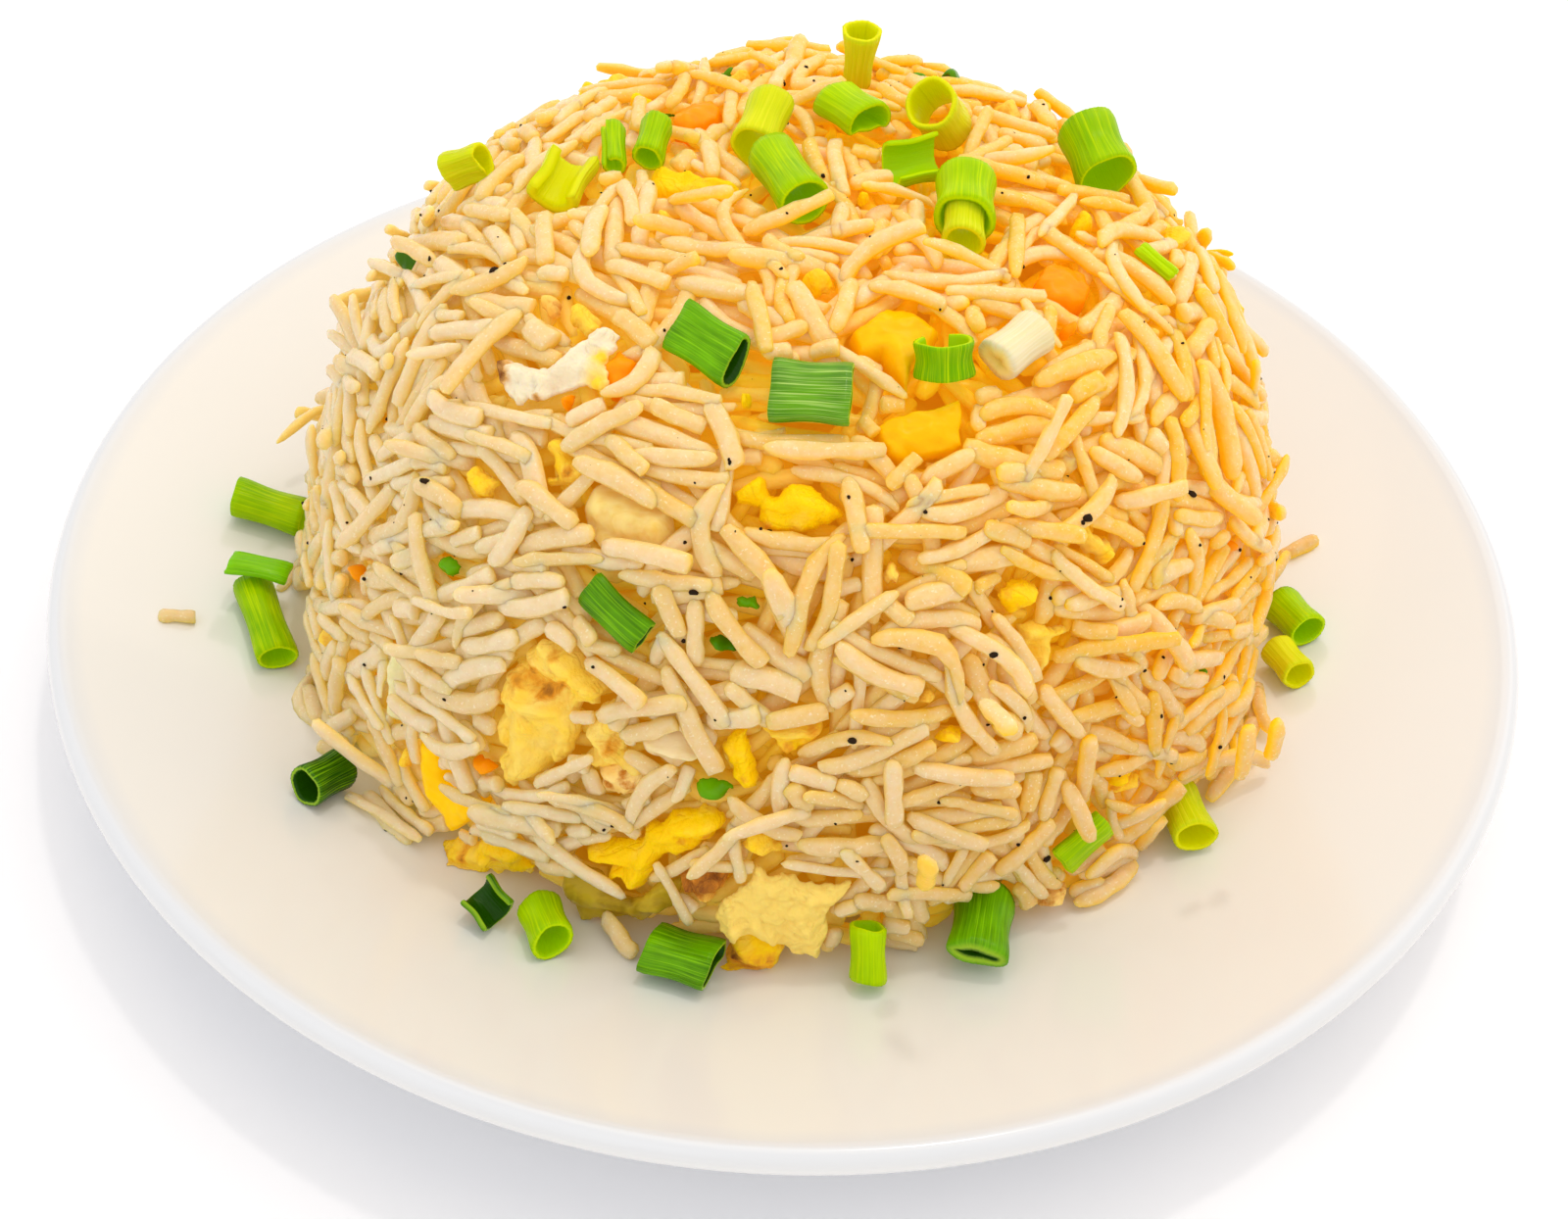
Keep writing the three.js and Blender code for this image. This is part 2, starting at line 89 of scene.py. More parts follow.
# Table, light and camera -----------------------------------------------------------------
# A pale table under a broad, warm light from the right and back, a cool, weaker one from the
# left and a small bulb for sparkle. The camera looks down from the diner's side, a little turned.

MM = 0.001
CAMERA_PLACE_MM = (-0.25, -177.54, 174.03)
CAMERA_DOWN = math.radians(45.19)
CAMERA_TURN = math.radians(3.447)
TABLE_HALF = 1.6


def new_object(name, data):
    """An object at the origin that holds a mesh, a lamp or a lens."""
    made = bpy.data.objects.new(name, data)
    bpy.context.scene.collection.objects.link(made)
    return made


def new_material(name):
    """A material with its nodes, and its Principled shader."""
    material = bpy.data.materials.new(name)
    material.use_nodes = True
    return material, material.node_tree, material.node_tree.nodes["Principled BSDF"]


def plug(node, inputs):
    """Puts values, or links from other nodes' sockets, into a node's inputs."""
    for key, value in inputs.items():
        if isinstance(value, bpy.types.NodeSocket):
            node.id_data.links.new(value, node.inputs[key])
        else:
            node.inputs[key].default_value = value


def soft_light(name, place, size, power, colour):
    """A round, even light that faces the plate."""
    lamp = bpy.data.lights.new(name, "AREA")
    lamp.shape = "DISK"
    lamp.size = size
    lamp.energy = power
    lamp.color = colour
    made = new_object(name, lamp)
    made.location = place
    made.rotation_euler = (-Vector(place)).to_track_quat("-Z", "Y").to_euler()


def table_top():
    """One flat sheet, its surface where the plate's foot stands."""
    mesh = bpy.data.meshes.new("table")
    corners = [(-TABLE_HALF, -TABLE_HALF, 0), (TABLE_HALF, -TABLE_HALF, 0),
               (TABLE_HALF, TABLE_HALF, 0), (-TABLE_HALF, TABLE_HALF, 0)]
    mesh.from_pydata(corners, [], [(0, 1, 2, 3)])
    material, _, shader = new_material("pale_table")
    plug(shader, {"Base Color": (0.93, 0.94, 0.98, 1), "Roughness": 0.8})
    mesh.materials.append(material)
    return new_object("table", mesh)


table_top()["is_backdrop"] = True
soft_light("window", (0.3, 0.3, 0.8), 1.4, 3.5, (1.0, 0.84, 0.64))
soft_light("bulb", (0.14, 0.2, 0.9), 0.06, 1.0, (1.0, 0.93, 0.85))
soft_light("room", (-0.6, -0.7, 0.6), 1.2, 1.2, (0.9, 0.95, 1.0))
world = bpy.data.worlds.new("room_light")
world.use_nodes = True
plug(world.node_tree.nodes["Background"], {"Color": (1.0, 0.98, 0.96, 1), "Strength": 0.88})
bpy.context.scene.world = world
bpy.context.scene.view_settings.view_transform = "Standard"

lens = bpy.data.cameras.new("diner")
lens.sensor_width = 36
lens.lens = 36
lens.clip_start = 0.01
camera = new_object("diner", lens)
camera.matrix_world = (
    Matrix.Translation(Vector(CAMERA_PLACE_MM) * MM)
    @ Matrix.Rotation(math.pi / 2 - CAMERA_DOWN, 4, "X")
    @ Matrix.Rotation(CAMERA_TURN, 4, "Z")
)
bpy.context.scene.camera = camera

# Plate -----------------------------------------------------------------------------------
# A coupe plate of white stoneware, turned on a wheel: a flat well, a rim that curves up to a
# rounded lip, and a foot ring. It is dipped in a warm white glaze that thins to a cool edge.

PLATE_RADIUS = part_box("plate")[1].x / MM
PLATE_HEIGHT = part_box("plate")[1].z / MM
PLATE_WALL = 4.2
PLATE_SIDES = 192
WELL_RADIUS = 60
WELL_HEIGHT = 5.6
RIM_CURVE = 1.7
FOOT_RADIUS = 57
FOOT_WIDTH = 5
FOOT_RECESS = 1.6
FOOT_EDGE = 0.5
FOOT_FILLET = 2
UNDERSIDE_RING = 8
LIP_ROUND = 1.9
LIP_TURN = (-50, 90, 12)


def plate_top(radius):
    """Height of the eating side at a distance from the middle, in millimetres."""
    out = np.clip((radius - WELL_RADIUS) / (PLATE_RADIUS - LIP_ROUND - WELL_RADIUS), 0, 1)
    return WELL_HEIGHT + (PLATE_HEIGHT - WELL_HEIGHT) * out ** RIM_CURVE


def plate_profile():
    """Half section of the plate, from the middle of its underside round to its top."""
    lip_radius = PLATE_RADIUS - LIP_ROUND
    foot_inside = FOOT_RADIUS - FOOT_WIDTH
    points = [(0, FOOT_RECESS), (foot_inside - UNDERSIDE_RING, FOOT_RECESS)]
    points += [(foot_inside - FOOT_FILLET, FOOT_RECESS)]
    points += [(foot_inside - FOOT_EDGE, FOOT_EDGE), (foot_inside + FOOT_EDGE, 0)]
    points += [(FOOT_RADIUS - FOOT_EDGE, 0), (FOOT_RADIUS, FOOT_EDGE), (FOOT_RADIUS + 1, FOOT_RECESS)]
    for radius in np.linspace(WELL_RADIUS + 4, lip_radius - LIP_ROUND, 14):
        points.append((radius + 1, plate_top(radius) - PLATE_WALL))
    for turn in np.radians(np.linspace(*LIP_TURN)):
        height = PLATE_HEIGHT + LIP_ROUND * (math.sin(turn) - 1)
        points.append((lip_radius + LIP_ROUND * math.cos(turn), height))
    for radius in np.linspace(lip_radius - 1, 0, 30):
        points.append((radius, plate_top(radius)))
    return np.array(points)


def turned(name, profile, sides):
    """A closed body turned round the upright axis from a half section, in millimetres."""
    turns = np.arange(sides) * 2 * math.pi / sides
    ring = np.stack([np.sin(turns), -np.cos(turns)], 1)
    inner = profile[1:-1]
    rows = [np.column_stack([ring * radius, np.full(sides, height)]) for radius, height in inner]
    points = np.vstack(rows + [[0, 0, profile[0][1]], [0, 0, profile[-1][1]]])
    faces = []
    first_pole = sides * len(inner)
    last_row = sides * (len(inner) - 1)
    for i in range(sides):
        j = (i + 1) % sides
        faces.append((first_pole, j, i))
        faces.append((first_pole + 1, last_row + i, last_row + j))
        for row in range(0, last_row, sides):
            faces.append((row + i, row + j, row + sides + j, row + sides + i))
    mesh = bpy.data.meshes.new(name)
    mesh.from_pydata(points * MM, [], faces)
    mesh.shade_smooth()
    return mesh


def add_node(tree, kind, inputs=None, **settings):
    """A node with its settings, and the values or sockets that go into it."""
    node = tree.nodes.new(kind)
    for key, value in settings.items():
        setattr(node, key, value)
    plug(node, inputs or {})
    return node


def object_place(tree):
    """Where a point lies on its object, so that a pattern stays with the piece."""
    return add_node(tree, "ShaderNodeTexCoord").outputs["Object"]


def split_up(tree, vector):
    """A vector's three parts."""
    return add_node(tree, "ShaderNodeSeparateXYZ", {0: vector}).outputs


def clouds(tree, place, scale, detail=2.0, **inputs):
    """Soft noise from 0 to 1 that changes about that many times a metre."""
    return add_node(tree, "ShaderNodeTexNoise", {
        "Vector": place, "Scale": scale, "Detail": detail, **inputs}).outputs["Fac"]


def ramp(tree, value, start, end, low=0.0, high=1.0):
    """Makes of a value that runs from start to end one that runs from low to high."""
    return add_node(tree, "ShaderNodeMapRange", {
        "Value": value, "From Min": start, "From Max": end, "To Min": low, "To Max": high}).outputs["Result"]


def blend(tree, share, first, second, kind="MIX"):
    """The first colour where the share is 0, the second where it is 1."""
    return add_node(tree, "ShaderNodeMix", {"Factor": share, "A": first, "B": second},
                    data_type="RGBA", blend_type=kind).outputs["Result"]


def relief(tree, height, strength, depth):
    """The tilt that a pattern of heights gives the surface, its depth in millimetres."""
    return add_node(tree, "ShaderNodeBump", {
        "Height": height, "Strength": strength, "Distance": depth * MM}).outputs["Normal"]


def glaze():
    """Warm white glaze, cooler and thinner at the lip, with faint unevenness."""
    material, tree, shader = new_material("plate_glaze")
    place = object_place(tree)
    lip = ramp(tree, split_up(tree, place)["Z"], (PLATE_HEIGHT - 1.6) * MM, PLATE_HEIGHT * MM)
    cloud = clouds(tree, place, 28.0)
    body = blend(tree, cloud, (0.79, 0.79, 0.78, 1), (0.82, 0.82, 0.81, 1))
    plug(shader, {
        "Base Color": blend(tree, lip, body, (0.72, 0.75, 0.8, 1)), "Normal": relief(tree, cloud, 0.04, 0.3),
        "Roughness": 0.16, "Coat Weight": 0.3, "Coat Roughness": 0.06})
    return material


plate = new_object("stoneware_plate", turned("stoneware_plate", plate_profile(), PLATE_SIDES))
plate.data.materials.append(glaze())
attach(plate, "root")
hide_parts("plate")

# Shape of the heap -----------------------------------------------------------------------
# The rice was pressed into a bowl and turned out, so it keeps the bowl's shape: a steep wall
# and a gently rounded crown. It slumps a little to one side, and the packing leaves it uneven.

DOME_RADIUS = 72.5
DOME_HEIGHT = 66.9
DOME_WALL_POWER = 4.6
DOME_CROWN_POWER = 1.2
DOME_BASE = 6
DOME_CENTRE = (-0.8, -1.0)
DOME_LEAN = 2.2
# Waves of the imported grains: how high, how many round the dome and up it, and where they start.
PACKED_WAVES = ((0.6, 3, 4, 0.7), (0.5, 7, -5, 2.1), (0.35, 13, 9, 0))
PACKED_SHORT = 0.6
ARC_STEP = 0.25
FOOT_BEND = 3
LEAST_TURN_RADIUS = 8


def unit(vectors):
    """Rows of directions, each made one long."""
    return vectors / np.linalg.norm(vectors, axis=1)[:, None]


def dome_curve():
    """The smooth dome's half section: way down from the crown, way out and height."""
    across = np.linspace(0, 1, 6000)
    out = DOME_RADIUS * across
    up = DOME_HEIGHT * (1 - across ** DOME_WALL_POWER) ** (1 / DOME_CROWN_POWER)
    run = np.concatenate([[0], np.cumsum(np.hypot(np.diff(out), np.diff(up)))])
    even = np.arange(0, run[-1], ARC_STEP)
    return even, np.interp(even, run, out), np.interp(even, run, up)


ARC, ARC_OUT, ARC_UP = dome_curve()
ARC_SLOPE = unit(np.stack([np.gradient(ARC_OUT, ARC), np.gradient(ARC_UP, ARC)], 1))
ARC_CLIMB = np.arctan2(ARC_UP, ARC_OUT)


def packed_bulge(azimuth, climb):
    """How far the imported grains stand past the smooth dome, or short of it."""
    waves = sum(high * np.sin(wide * azimuth + tall * climb + start)
                for high, wide, tall, start in PACKED_WAVES)
    return waves * np.cos(climb) - PACKED_SHORT


def dome_frames(arc, azimuth):
    """Points on the smooth dome, and the directions down it, round it and out of it."""
    out = np.interp(arc, ARC, ARC_OUT)
    up = np.interp(arc, ARC, ARC_UP)
    step_out = np.interp(arc, ARC, ARC_SLOPE[:, 0])
    step_up = np.interp(arc, ARC, ARC_SLOPE[:, 1])
    side, ahead = np.sin(azimuth), -np.cos(azimuth)
    point = np.stack([DOME_CENTRE[0] + DOME_LEAN * up / DOME_HEIGHT + out * side,
                      DOME_CENTRE[1] + out * ahead, DOME_BASE + up], -1)
    down = np.stack([step_out * side, step_out * ahead, step_up], -1)
    around = np.stack([-ahead, side, np.zeros_like(side)], -1)
    outward = np.stack([-step_up * side, -step_up * ahead, step_out], -1)
    return point, down, around, outward


def dome_place(points):
    """Way down the dome, azimuth and height off it of points in millimetres."""
    up = points[:, 2] - DOME_BASE
    x = points[:, 0] - DOME_CENTRE[0] - DOME_LEAN * up / DOME_HEIGHT
    y = points[:, 1] - DOME_CENTRE[1]
    out = np.hypot(x, y)
    near = np.hypot(out[:, None] - ARC_OUT, up[:, None] - ARC_UP).argmin(1)
    off_out, off_up = out - ARC_OUT[near], up - ARC_UP[near]
    height = off_up * ARC_SLOPE[near, 0] - off_out * ARC_SLOPE[near, 1]
    return ARC[near], np.arctan2(x, -y), height


def dome_arc(climb):
    """Way down the dome to a height given in degrees above the middle of its base."""
    return np.interp(-math.radians(climb), -ARC_CLIMB, ARC)


def drape(azimuth, climb, flat, height):
    """Lays flat points round a place on the dome, and out over the plate below its foot."""
    way_down = dome_arc(climb) - flat[:, 1]
    foot = ARC[-1] - FOOT_BEND
    past = np.maximum(way_down - foot, 0)
    arc = np.minimum(way_down, foot)
    turn = math.radians(azimuth) + flat[:, 0] / np.maximum(
        np.interp(arc, ARC, ARC_OUT), LEAST_TURN_RADIUS)
    point, down, _, outward = dome_frames(arc, turn)
    level = (1 - np.exp(-past / FOOT_BEND))[:, None]
    bulge = packed_bulge(turn, np.arctan2(np.interp(arc, ARC, ARC_UP), np.interp(arc, ARC, ARC_OUT)))
    away = np.stack([np.sin(turn), -np.cos(turn), np.zeros(len(turn))], 1)
    rise = outward * (1 - level) + np.array([0, 0, 1]) * level
    point = point + down * FOOT_BEND * level + away * (past[:, None] - FOOT_BEND * level)
    point = point + rise * (bulge + height)[:, None]
    point[:, 2] = np.maximum(point[:, 2], 0.2 + plate_top(np.hypot(point[:, 0], point[:, 1])))
    return point


# Scrambled egg ---------------------------------------------------------------------------
# Beaten egg set in a hot wok and broken up with the ladle: soft yellow curds and folded
# sheets with torn edges, some of the white left whole, and brown where they met the iron.

# Each torn piece: its place on the dome in degrees, thickness, how far it stands out of the
# rice and its rim sinks in, paleness, outline in millimetres (right, up the dome), folds
# (a line, its width and its height), and toasted or yolky spots (place and size).
TORN_EGG = {
    "egg_folded_tall": dict(
        at=(-26, 24.1), thick=1.8, proud=0.9, sink=1.5, pale=0.5,
        outline=((-3, 6), (-1, 10), (2.5, 10.5), (5, 8.5), (8, 7), (7.5, 4.5), (5, 3.5), (5.5, 0.5), (5, -3),
                 (3.5, -6), (1.5, -8), (-0.5, -10), (-1.5, -12), (-3, -11.5), (-4, -9.5), (-3.5, -7),
                 (-5, -4.5), (-4.5, -1.5), (-5, 3)),
        folds=((-0.5, 9.5, 7.5, 6, 1.0, 1.1), (-4, 1, 3, 2, 0.8, 0.9), (-0.5, -1, -0.5, -8, 1.6, 1.0),
               (3, -0.5, 2.5, -7, 0.5, -0.7), (-3, 0, -2.5, -9, 0.5, -0.7), (0, 4.5, 3, 4.5, 1.6, -1.2)),
        toasted=((-1.5, 5.5, 1.8), (1, 4, 1.5), (3, 5.5, 1.2), (-3, 3.5, 1.2), (-4, 1, 0.8), (1.5, 9, 0.8))),
    "egg_folded_side": dict(
        at=(-18.2, 27), thick=1.6, proud=0.5, sink=1.3, pale=0.55,
        outline=((-2.5, -2.5), (-1.5, -0.5), (0, 1.5), (1.5, 0.5), (2.5, -2.5), (2.5, -4.5), (4.5, -6),
                 (6.5, -7), (4.5, -8), (2, -7), (0.5, -8), (-1.5, -8), (-1.5, -5.5), (-2.5, -4)),
        folds=((-1, -3, 1, -5, 0.7, 0.8), (1.5, -1, 2, -5, 0.5, -0.6)),
        toasted=((1, -4, 1.2),)),
    "egg_brown_edged": dict(
        at=(-15.5, 20.1), thick=1.5, proud=0.5, sink=1.0, pale=0.6,
        outline=((-3.5, 1), (-1, 2.5), (3, 1.5), (2, 0), (0.5, -2), (-2, -2.5), (-3, -1)),
        folds=((-2, 1, 2, 0.5, 0.7, 0.7),),
        toasted=((-1.5, -0.5, 1.1), (1, 0.5, 0.7), (0, 1.5, 0.6))),
    "egg_strip": dict(
        at=(-11, 14), thick=2.2, proud=0.9, sink=1.2, pale=0.05,
        outline=((-1.5, 3), (1, 5.5), (4.5, 7), (7, 6.5), (7.5, 5.5), (6.5, 3.5), (4.5, 1), (2.5, -0.5),
                 (1.5, -0.5), (0.5, -1.5), (0, -2.5), (-0.5, -4.5), (-1.5, -7), (-2.5, -8), (-4, -8),
                 (-4.5, -7), (-6.5, -8), (-6, -6), (-4.5, -4.5), (-7.5, -5.5), (-9.5, -4.5), (-8, -3),
                 (-5.5, -1.5), (-3, -0.5), (-2, 0.5)),
        folds=((0, 2.5, 5.5, 5.5, 1.0, 1.0), (-1.5, -1.5, -2.5, -6, 0.9, 0.8),
               (1.5, 3.5, 5.5, 2.5, 0.6, -0.7), (-8, -4, -4, -3, 0.7, 0.6)),
        toasted=((3, 2.5, 0.6), (-2, -6.5, 0.6), (5.5, 4, 0.5))),
    "egg_sheet": dict(
        at=(1.8, 11), thick=1.0, proud=1.4, sink=0.6, pale=1.0,
        outline=((-4, 4), (-0.5, 3.5), (1.5, 2.5), (4.5, 2), (7.5, 2), (6, -0.5), (5, -2.5), (5.5, -5),
                 (5, -7), (4.5, -10.5), (2.5, -9), (1, -8), (-1, -7), (-3, -6), (-5, -6), (-6, -8.5),
                 (-7, -6), (-7.5, -2.5), (-7, -0.5), (-5.5, 0.5), (-4.5, 1.5)),
        folds=((-6.5, -1, -5, -7, 0.9, 1.0), (-3, -4, -1, -6.5, 0.7, 0.6), (-3, 2, 5, 0.5, 1.2, 0.5),
               (2, -2, 4.5, -8, 0.8, 0.5), (0.5, -3, 0, -7, 0.5, -0.4)),
        toasted=()),
    "egg_golden": dict(
        at=(-0.5, 3.9), thick=2.4, proud=0.8, sink=0.8, pale=0.2,
        outline=((-3, -0.5), (-2, 2.5), (0.5, 2.5), (3.5, 0), (3, -3), (1, -5), (-3, -6), (-4, -5.5),
                 (-3.5, -3)),
        folds=((-2, 0, 2, -2, 0.9, 0.8), (-3, -3, 1, -4, 0.6, -0.5)),
        toasted=((-1.5, -3.5, 2.4), (1.5, -1, 1.7), (-2.5, -1, 1.3))),
    "egg_base_left": dict(
        at=(-31, 4.6), thick=1.6, proud=0.6, sink=1.0, pale=0.2,
        outline=((-7, -4), (-4, -2.5), (-1, -1), (1, 2), (5, 4), (7, 4), (6.5, 1.5), (7.5, 0.5), (9.5, 1.5),
                 (6.5, -1), (3.5, -3), (-1, -5.5), (-3, -6.5), (-5, -4.5)),
        folds=((-4, -4, 2, -1, 0.8, 0.8), (2, 1, 6, 2, 0.6, 0.6)),
        toasted=((-2, -3, 1.2), (3, 0.5, 0.9), (-5, -4.5, 0.8))),
    "egg_yellow_front": dict(
        at=(-2, 48.6), thick=3.2, proud=1.3, sink=1.0, pale=0.0,
        outline=((-6, 0.5), (-5, 1.5), (-3.5, 3), (-2.5, 2.5), (-2, 1), (-1, 1), (-0.5, 2), (0.5, 2.5),
                 (2, 2.5), (3, 2), (4, 1), (6.5, -0.5), (6.5, -1), (5.5, -1.5), (4, -2), (2, -3),
                 (0.5, -3), (-2, -3), (-3, -2), (-3, -0.5), (-5.5, -0.5)),
        folds=((-4.5, 1.2, -3, 1.8, 1.2, 1.0), (0.5, 0.5, 3.5, 0, 1.4, 1.0), (-1.6, 1, -1.6, 2.5, 0.6, -0.9),
               (0.6, 2, 1.2, 2.2, 0.7, 0.6), (-2.5, -1.6, 2, -1.6, 0.6, -0.5)),
        toasted=((-2, -2.5, 0.6),)),
    "egg_left": dict(
        at=(-31.5, 47), thick=1.8, proud=0.4, sink=1.1, pale=0.35,
        outline=((-3.5, 0.5), (-2.5, 2.5), (-1, 3), (-0.5, 1.5), (0.5, 1), (3.5, 0.5), (2, -1.5), (-1, -3),
                 (-2, -2.5), (-0.5, -1.5)),
        folds=((-2.5, 1.5, -1, 1.5, 0.7, 0.6),),
        toasted=((-1.5, -1, 1.0), (1, -0.5, 0.9))),
    "egg_stick": dict(
        at=(-3.3, 25.4), thick=1.9, proud=0.7, sink=0.7, pale=0.1,
        outline=((-1.5, 3.5), (0, 4), (1, 0), (1.5, -3.5), (0, -3.5), (-1.5, -1)),
        folds=((-0.5, 3, 0.5, -3, 0.7, 0.4),), toasted=((0, -2, 0.5),)),
    "egg_curl": dict(
        at=(1.8, 28), thick=1.6, proud=0.4, sink=1.0, pale=0.3,
        outline=((-4.5, 0.5), (-1, 2), (2.5, 2), (2.5, 0.5), (0.5, -1.5), (-1, -3), (-2.5, -1)),
        folds=((-3, 0.5, 2, 1, 0.6, 0.8), (-1.5, -1, 0.5, -0.5, 0.5, -0.5)),
        toasted=((1.5, 1, 0.8), (-1, -1.5, 0.7))),
    "egg_right": dict(
        at=(29.5, 31.9), thick=1.6, proud=0.6, sink=0.9, pale=0.45,
        outline=((-3.5, 5.5), (-0.5, 5), (3, 3), (3, 2), (1, 2.5), (0.5, 1.5), (0, -0.5), (-1, -1.5),
                 (-2, -3.5), (-3, -2.5), (-4, -0.5), (-3.5, 3)),
        folds=((-2.8, 4.5, 1.5, 3.2, 0.8, 0.8), (-2, 3, -2.2, -2, 0.7, -0.7),
               (-0.5, 1.5, -1.5, -2, 0.5, 0.5)),
        toasted=((-2.6, 1.5, 0.6),)),
    "egg_small_right": dict(
        at=(37.5, 41), thick=1.6, proud=0.5, sink=0.8, pale=0.4,
        outline=((-2.5, 3), (-1.5, 3.5), (0, 3), (0, 1.5), (1, 0.5), (2.5, -0.5), (2.5, -1.5), (3.5, -2),
                 (2, -3), (1, -3.5), (0.5, -2.5), (-1, -1), (-2, 1.5)),
        folds=((-1.5, 1.5, 1.5, -2, 0.7, 0.6),), toasted=()),
    "egg_back_left": dict(
        at=(-87, 76.5), thick=1.7, proud=0.8, sink=0.6, pale=0.1,
        outline=((-3, -5), (0, -5.5), (2.5, -5), (3, -2), (3, 1), (4, 3.5), (3, 6), (1, 5), (0.8, 1.5),
                 (-0.5, -2)),
        folds=((-1, -4, 2.5, 4.5, 0.7, 0.7),), toasted=()),
    "egg_white_star": dict(
        at=(-41, 53.5), thick=1.0, proud=1.5, sink=0.5, pale=1.0,
        outline=((-7, -3), (-5.5, -2), (-2, -1), (0.5, 1), (0.5, 3), (1.5, 5), (1, 7), (3, 7.5), (4, 7.5),
                 (5, 5.5), (5.5, 3.5), (7.5, 2), (8, 0.5), (5.5, 0.5), (4.5, 0), (3, -1.5), (1.5, -3.5),
                 (-1, -5.5), (-3, -5), (-5, -4.5)),
        folds=((-5, -3, 0, -1.5, 0.8, 0.7), (1.5, 0, 3, 6.5, 0.8, 0.8), (2, -2, 4.5, 1, 0.6, -0.5)),
        toasted=((-6, -3, 2.0), (-4.5, -4, 1.6), (1, -3.5, 0.5)), yolky=((6.5, 1.2, 2.2), (4.8, 4, 1.2))),
    "egg_browned": dict(
        at=(-6.2, 9.2), thick=3.4, proud=0.9, sink=0.8, pale=0.2,
        outline=((-3, 3), (-1.5, 4.5), (0, 5), (2.5, 5.5), (3, 4), (2.5, 2), (1, -1), (-1.5, -0.5),
                 (-3, 1.5)),
        folds=((-1.5, 2, 1.5, 3.5, 0.7, 0.7), (-1, 0.5, 1, 1, 0.5, -0.8), (-2, 3, 0, 1, 0.4, -0.8)),
        toasted=((0, 2.5, 2.6), (-1.5, 1, 2.0), (1.5, 4, 2.0))),
}
EGG_SEED = 12
EGG_STEP = 0.42
EGG_TEAR = 0.1
ROW_SHARE = 0.87
JITTER = 0.14
RIM_ROWS = (0.12, 0.4, 0.75)
MOST_SPOTTED = 1.3
SINK_WIDTH = 1.1
FOLD_RISE = 1.3
CREASE_SIZE = 2.4
CREASE_WIDTH = 0.14
# Lumps in the sheet: how high, how broad, and which of the noises.
LUMPS = ((0.4, 2.6, 0), (0.24, 1.1, 5))
EGG_KINDS = {"egg_white_star": "egg_white", "egg_browned": "egg_browned", "egg_brown_edged": "egg_browned"}


def torn(outline, ragged, step, chance):
    """A closed outline through the corners, torn finer and finer between them."""
    points, count = np.array(outline, float), 0
    while count < len(points):
        count = len(points)
        rows = []
        for a, b in zip(points, np.roll(points, -1, 0)):
            rows.append(a)
            gap = b - a
            if np.hypot(*gap) > step:
                rows.append((a + b) / 2 + np.array([-gap[1], gap[0]]) * chance.normal(0, ragged))
        points = np.array(rows)
    x, y = points.T
    turned_right = np.sum(x * np.roll(y, -1) - np.roll(x, -1) * y) < 0
    return points[::-1] if turned_right else points


def line_gaps(points, start, end):
    """Distances of flat points from each of some straight lines."""
    run = end - start
    share = ((points[:, None] - start) * run).sum(2) / np.maximum((run ** 2).sum(1), 1e-9)
    near = start + np.clip(share, 0, 1)[..., None] * run
    return np.linalg.norm(points[:, None] - near, axis=2)


def inside(points, outline):
    """Whether flat points lie inside a closed outline."""
    start, end = outline, np.roll(outline, -1, 0)
    x, y = points[:, :1], points[:, 1:]
    rise = np.where(end[:, 1] == start[:, 1], 1e-9, end[:, 1] - start[:, 1])
    reach = start[:, 0] + (y - start[:, 1]) * (end[:, 0] - start[:, 0]) / rise
    return (((start[:, 1] > y) != (end[:, 1] > y)) & (x < reach)).sum(1) % 2 == 1


def wander(points, size, seed):
    """Smooth noise between -1 and 1 that changes over about that many millimetres."""
    shift = Vector((seed * 7.3, seed * 3.1, seed * 5.7))
    return np.array([noise.noise(Vector((*p, 0)[:3]) / size + shift) for p in points])


def closed_sheet(name, outline, thick, rim, step, chance, lay):
    """A closed mesh of one sheet with a rounded rim. lay() puts its flat points in place."""
    ends = np.roll(outline, -1, 0)
    ahead = ends - np.roll(outline, 1, 0)
    inward = unit(np.stack([-ahead[:, 1], ahead[:, 0]], 1))
    low, high = outline.min(0), outline.max(0)
    columns, rows = np.arange(low[0], high[0], step), np.arange(low[1], high[1], ROW_SHARE * step)
    grid = np.stack(np.meshgrid(columns, rows), -1)
    grid[1::2, :, 0] += step / 2
    spots = grid.reshape(-1, 2)
    spots = spots + chance.uniform(-JITTER, JITTER, spots.shape) * step
    insets = [(spots, rim)] + [(outline + inward * rim * share, rim * share) for share in RIM_ROWS]
    rows = [outline]
    for points, inset in insets:
        gap = line_gaps(points, outline, ends).min(1)
        rows.append(points[inside(points, outline) & (gap > 0.9 * inset)])
    flat, _, triangles = geometry.delaunay_2d_cdt(
        [Vector(p) for p in np.vstack(rows)], [], [list(range(len(outline)))], 1, 1e-5)[:3]
    flat, triangles = np.array([tuple(p) for p in flat]), np.array(triangles)
    gap = line_gaps(flat, outline, ends).min(1)
    rim_point = gap < 1e-3
    triangles = triangles[~rim_point[triangles].all(1)]
    swell = thick / 2 * np.sqrt(1 - (1 - np.minimum(gap / rim, 1)) ** 2)
    under = np.where(rim_point, np.arange(len(flat)), np.arange(len(flat)) + len(flat))
    points = np.vstack([lay(flat, gap, swell), lay(flat, gap, -swell)])
    used, faces = np.unique(np.vstack([triangles, under[triangles[:, ::-1]]]), return_inverse=True)
    piece = closed_piece(name, points[used], faces.reshape(-1, 3).tolist())
    return piece, np.tile(flat, (2, 1))[used], np.tile(gap, 2)[used]


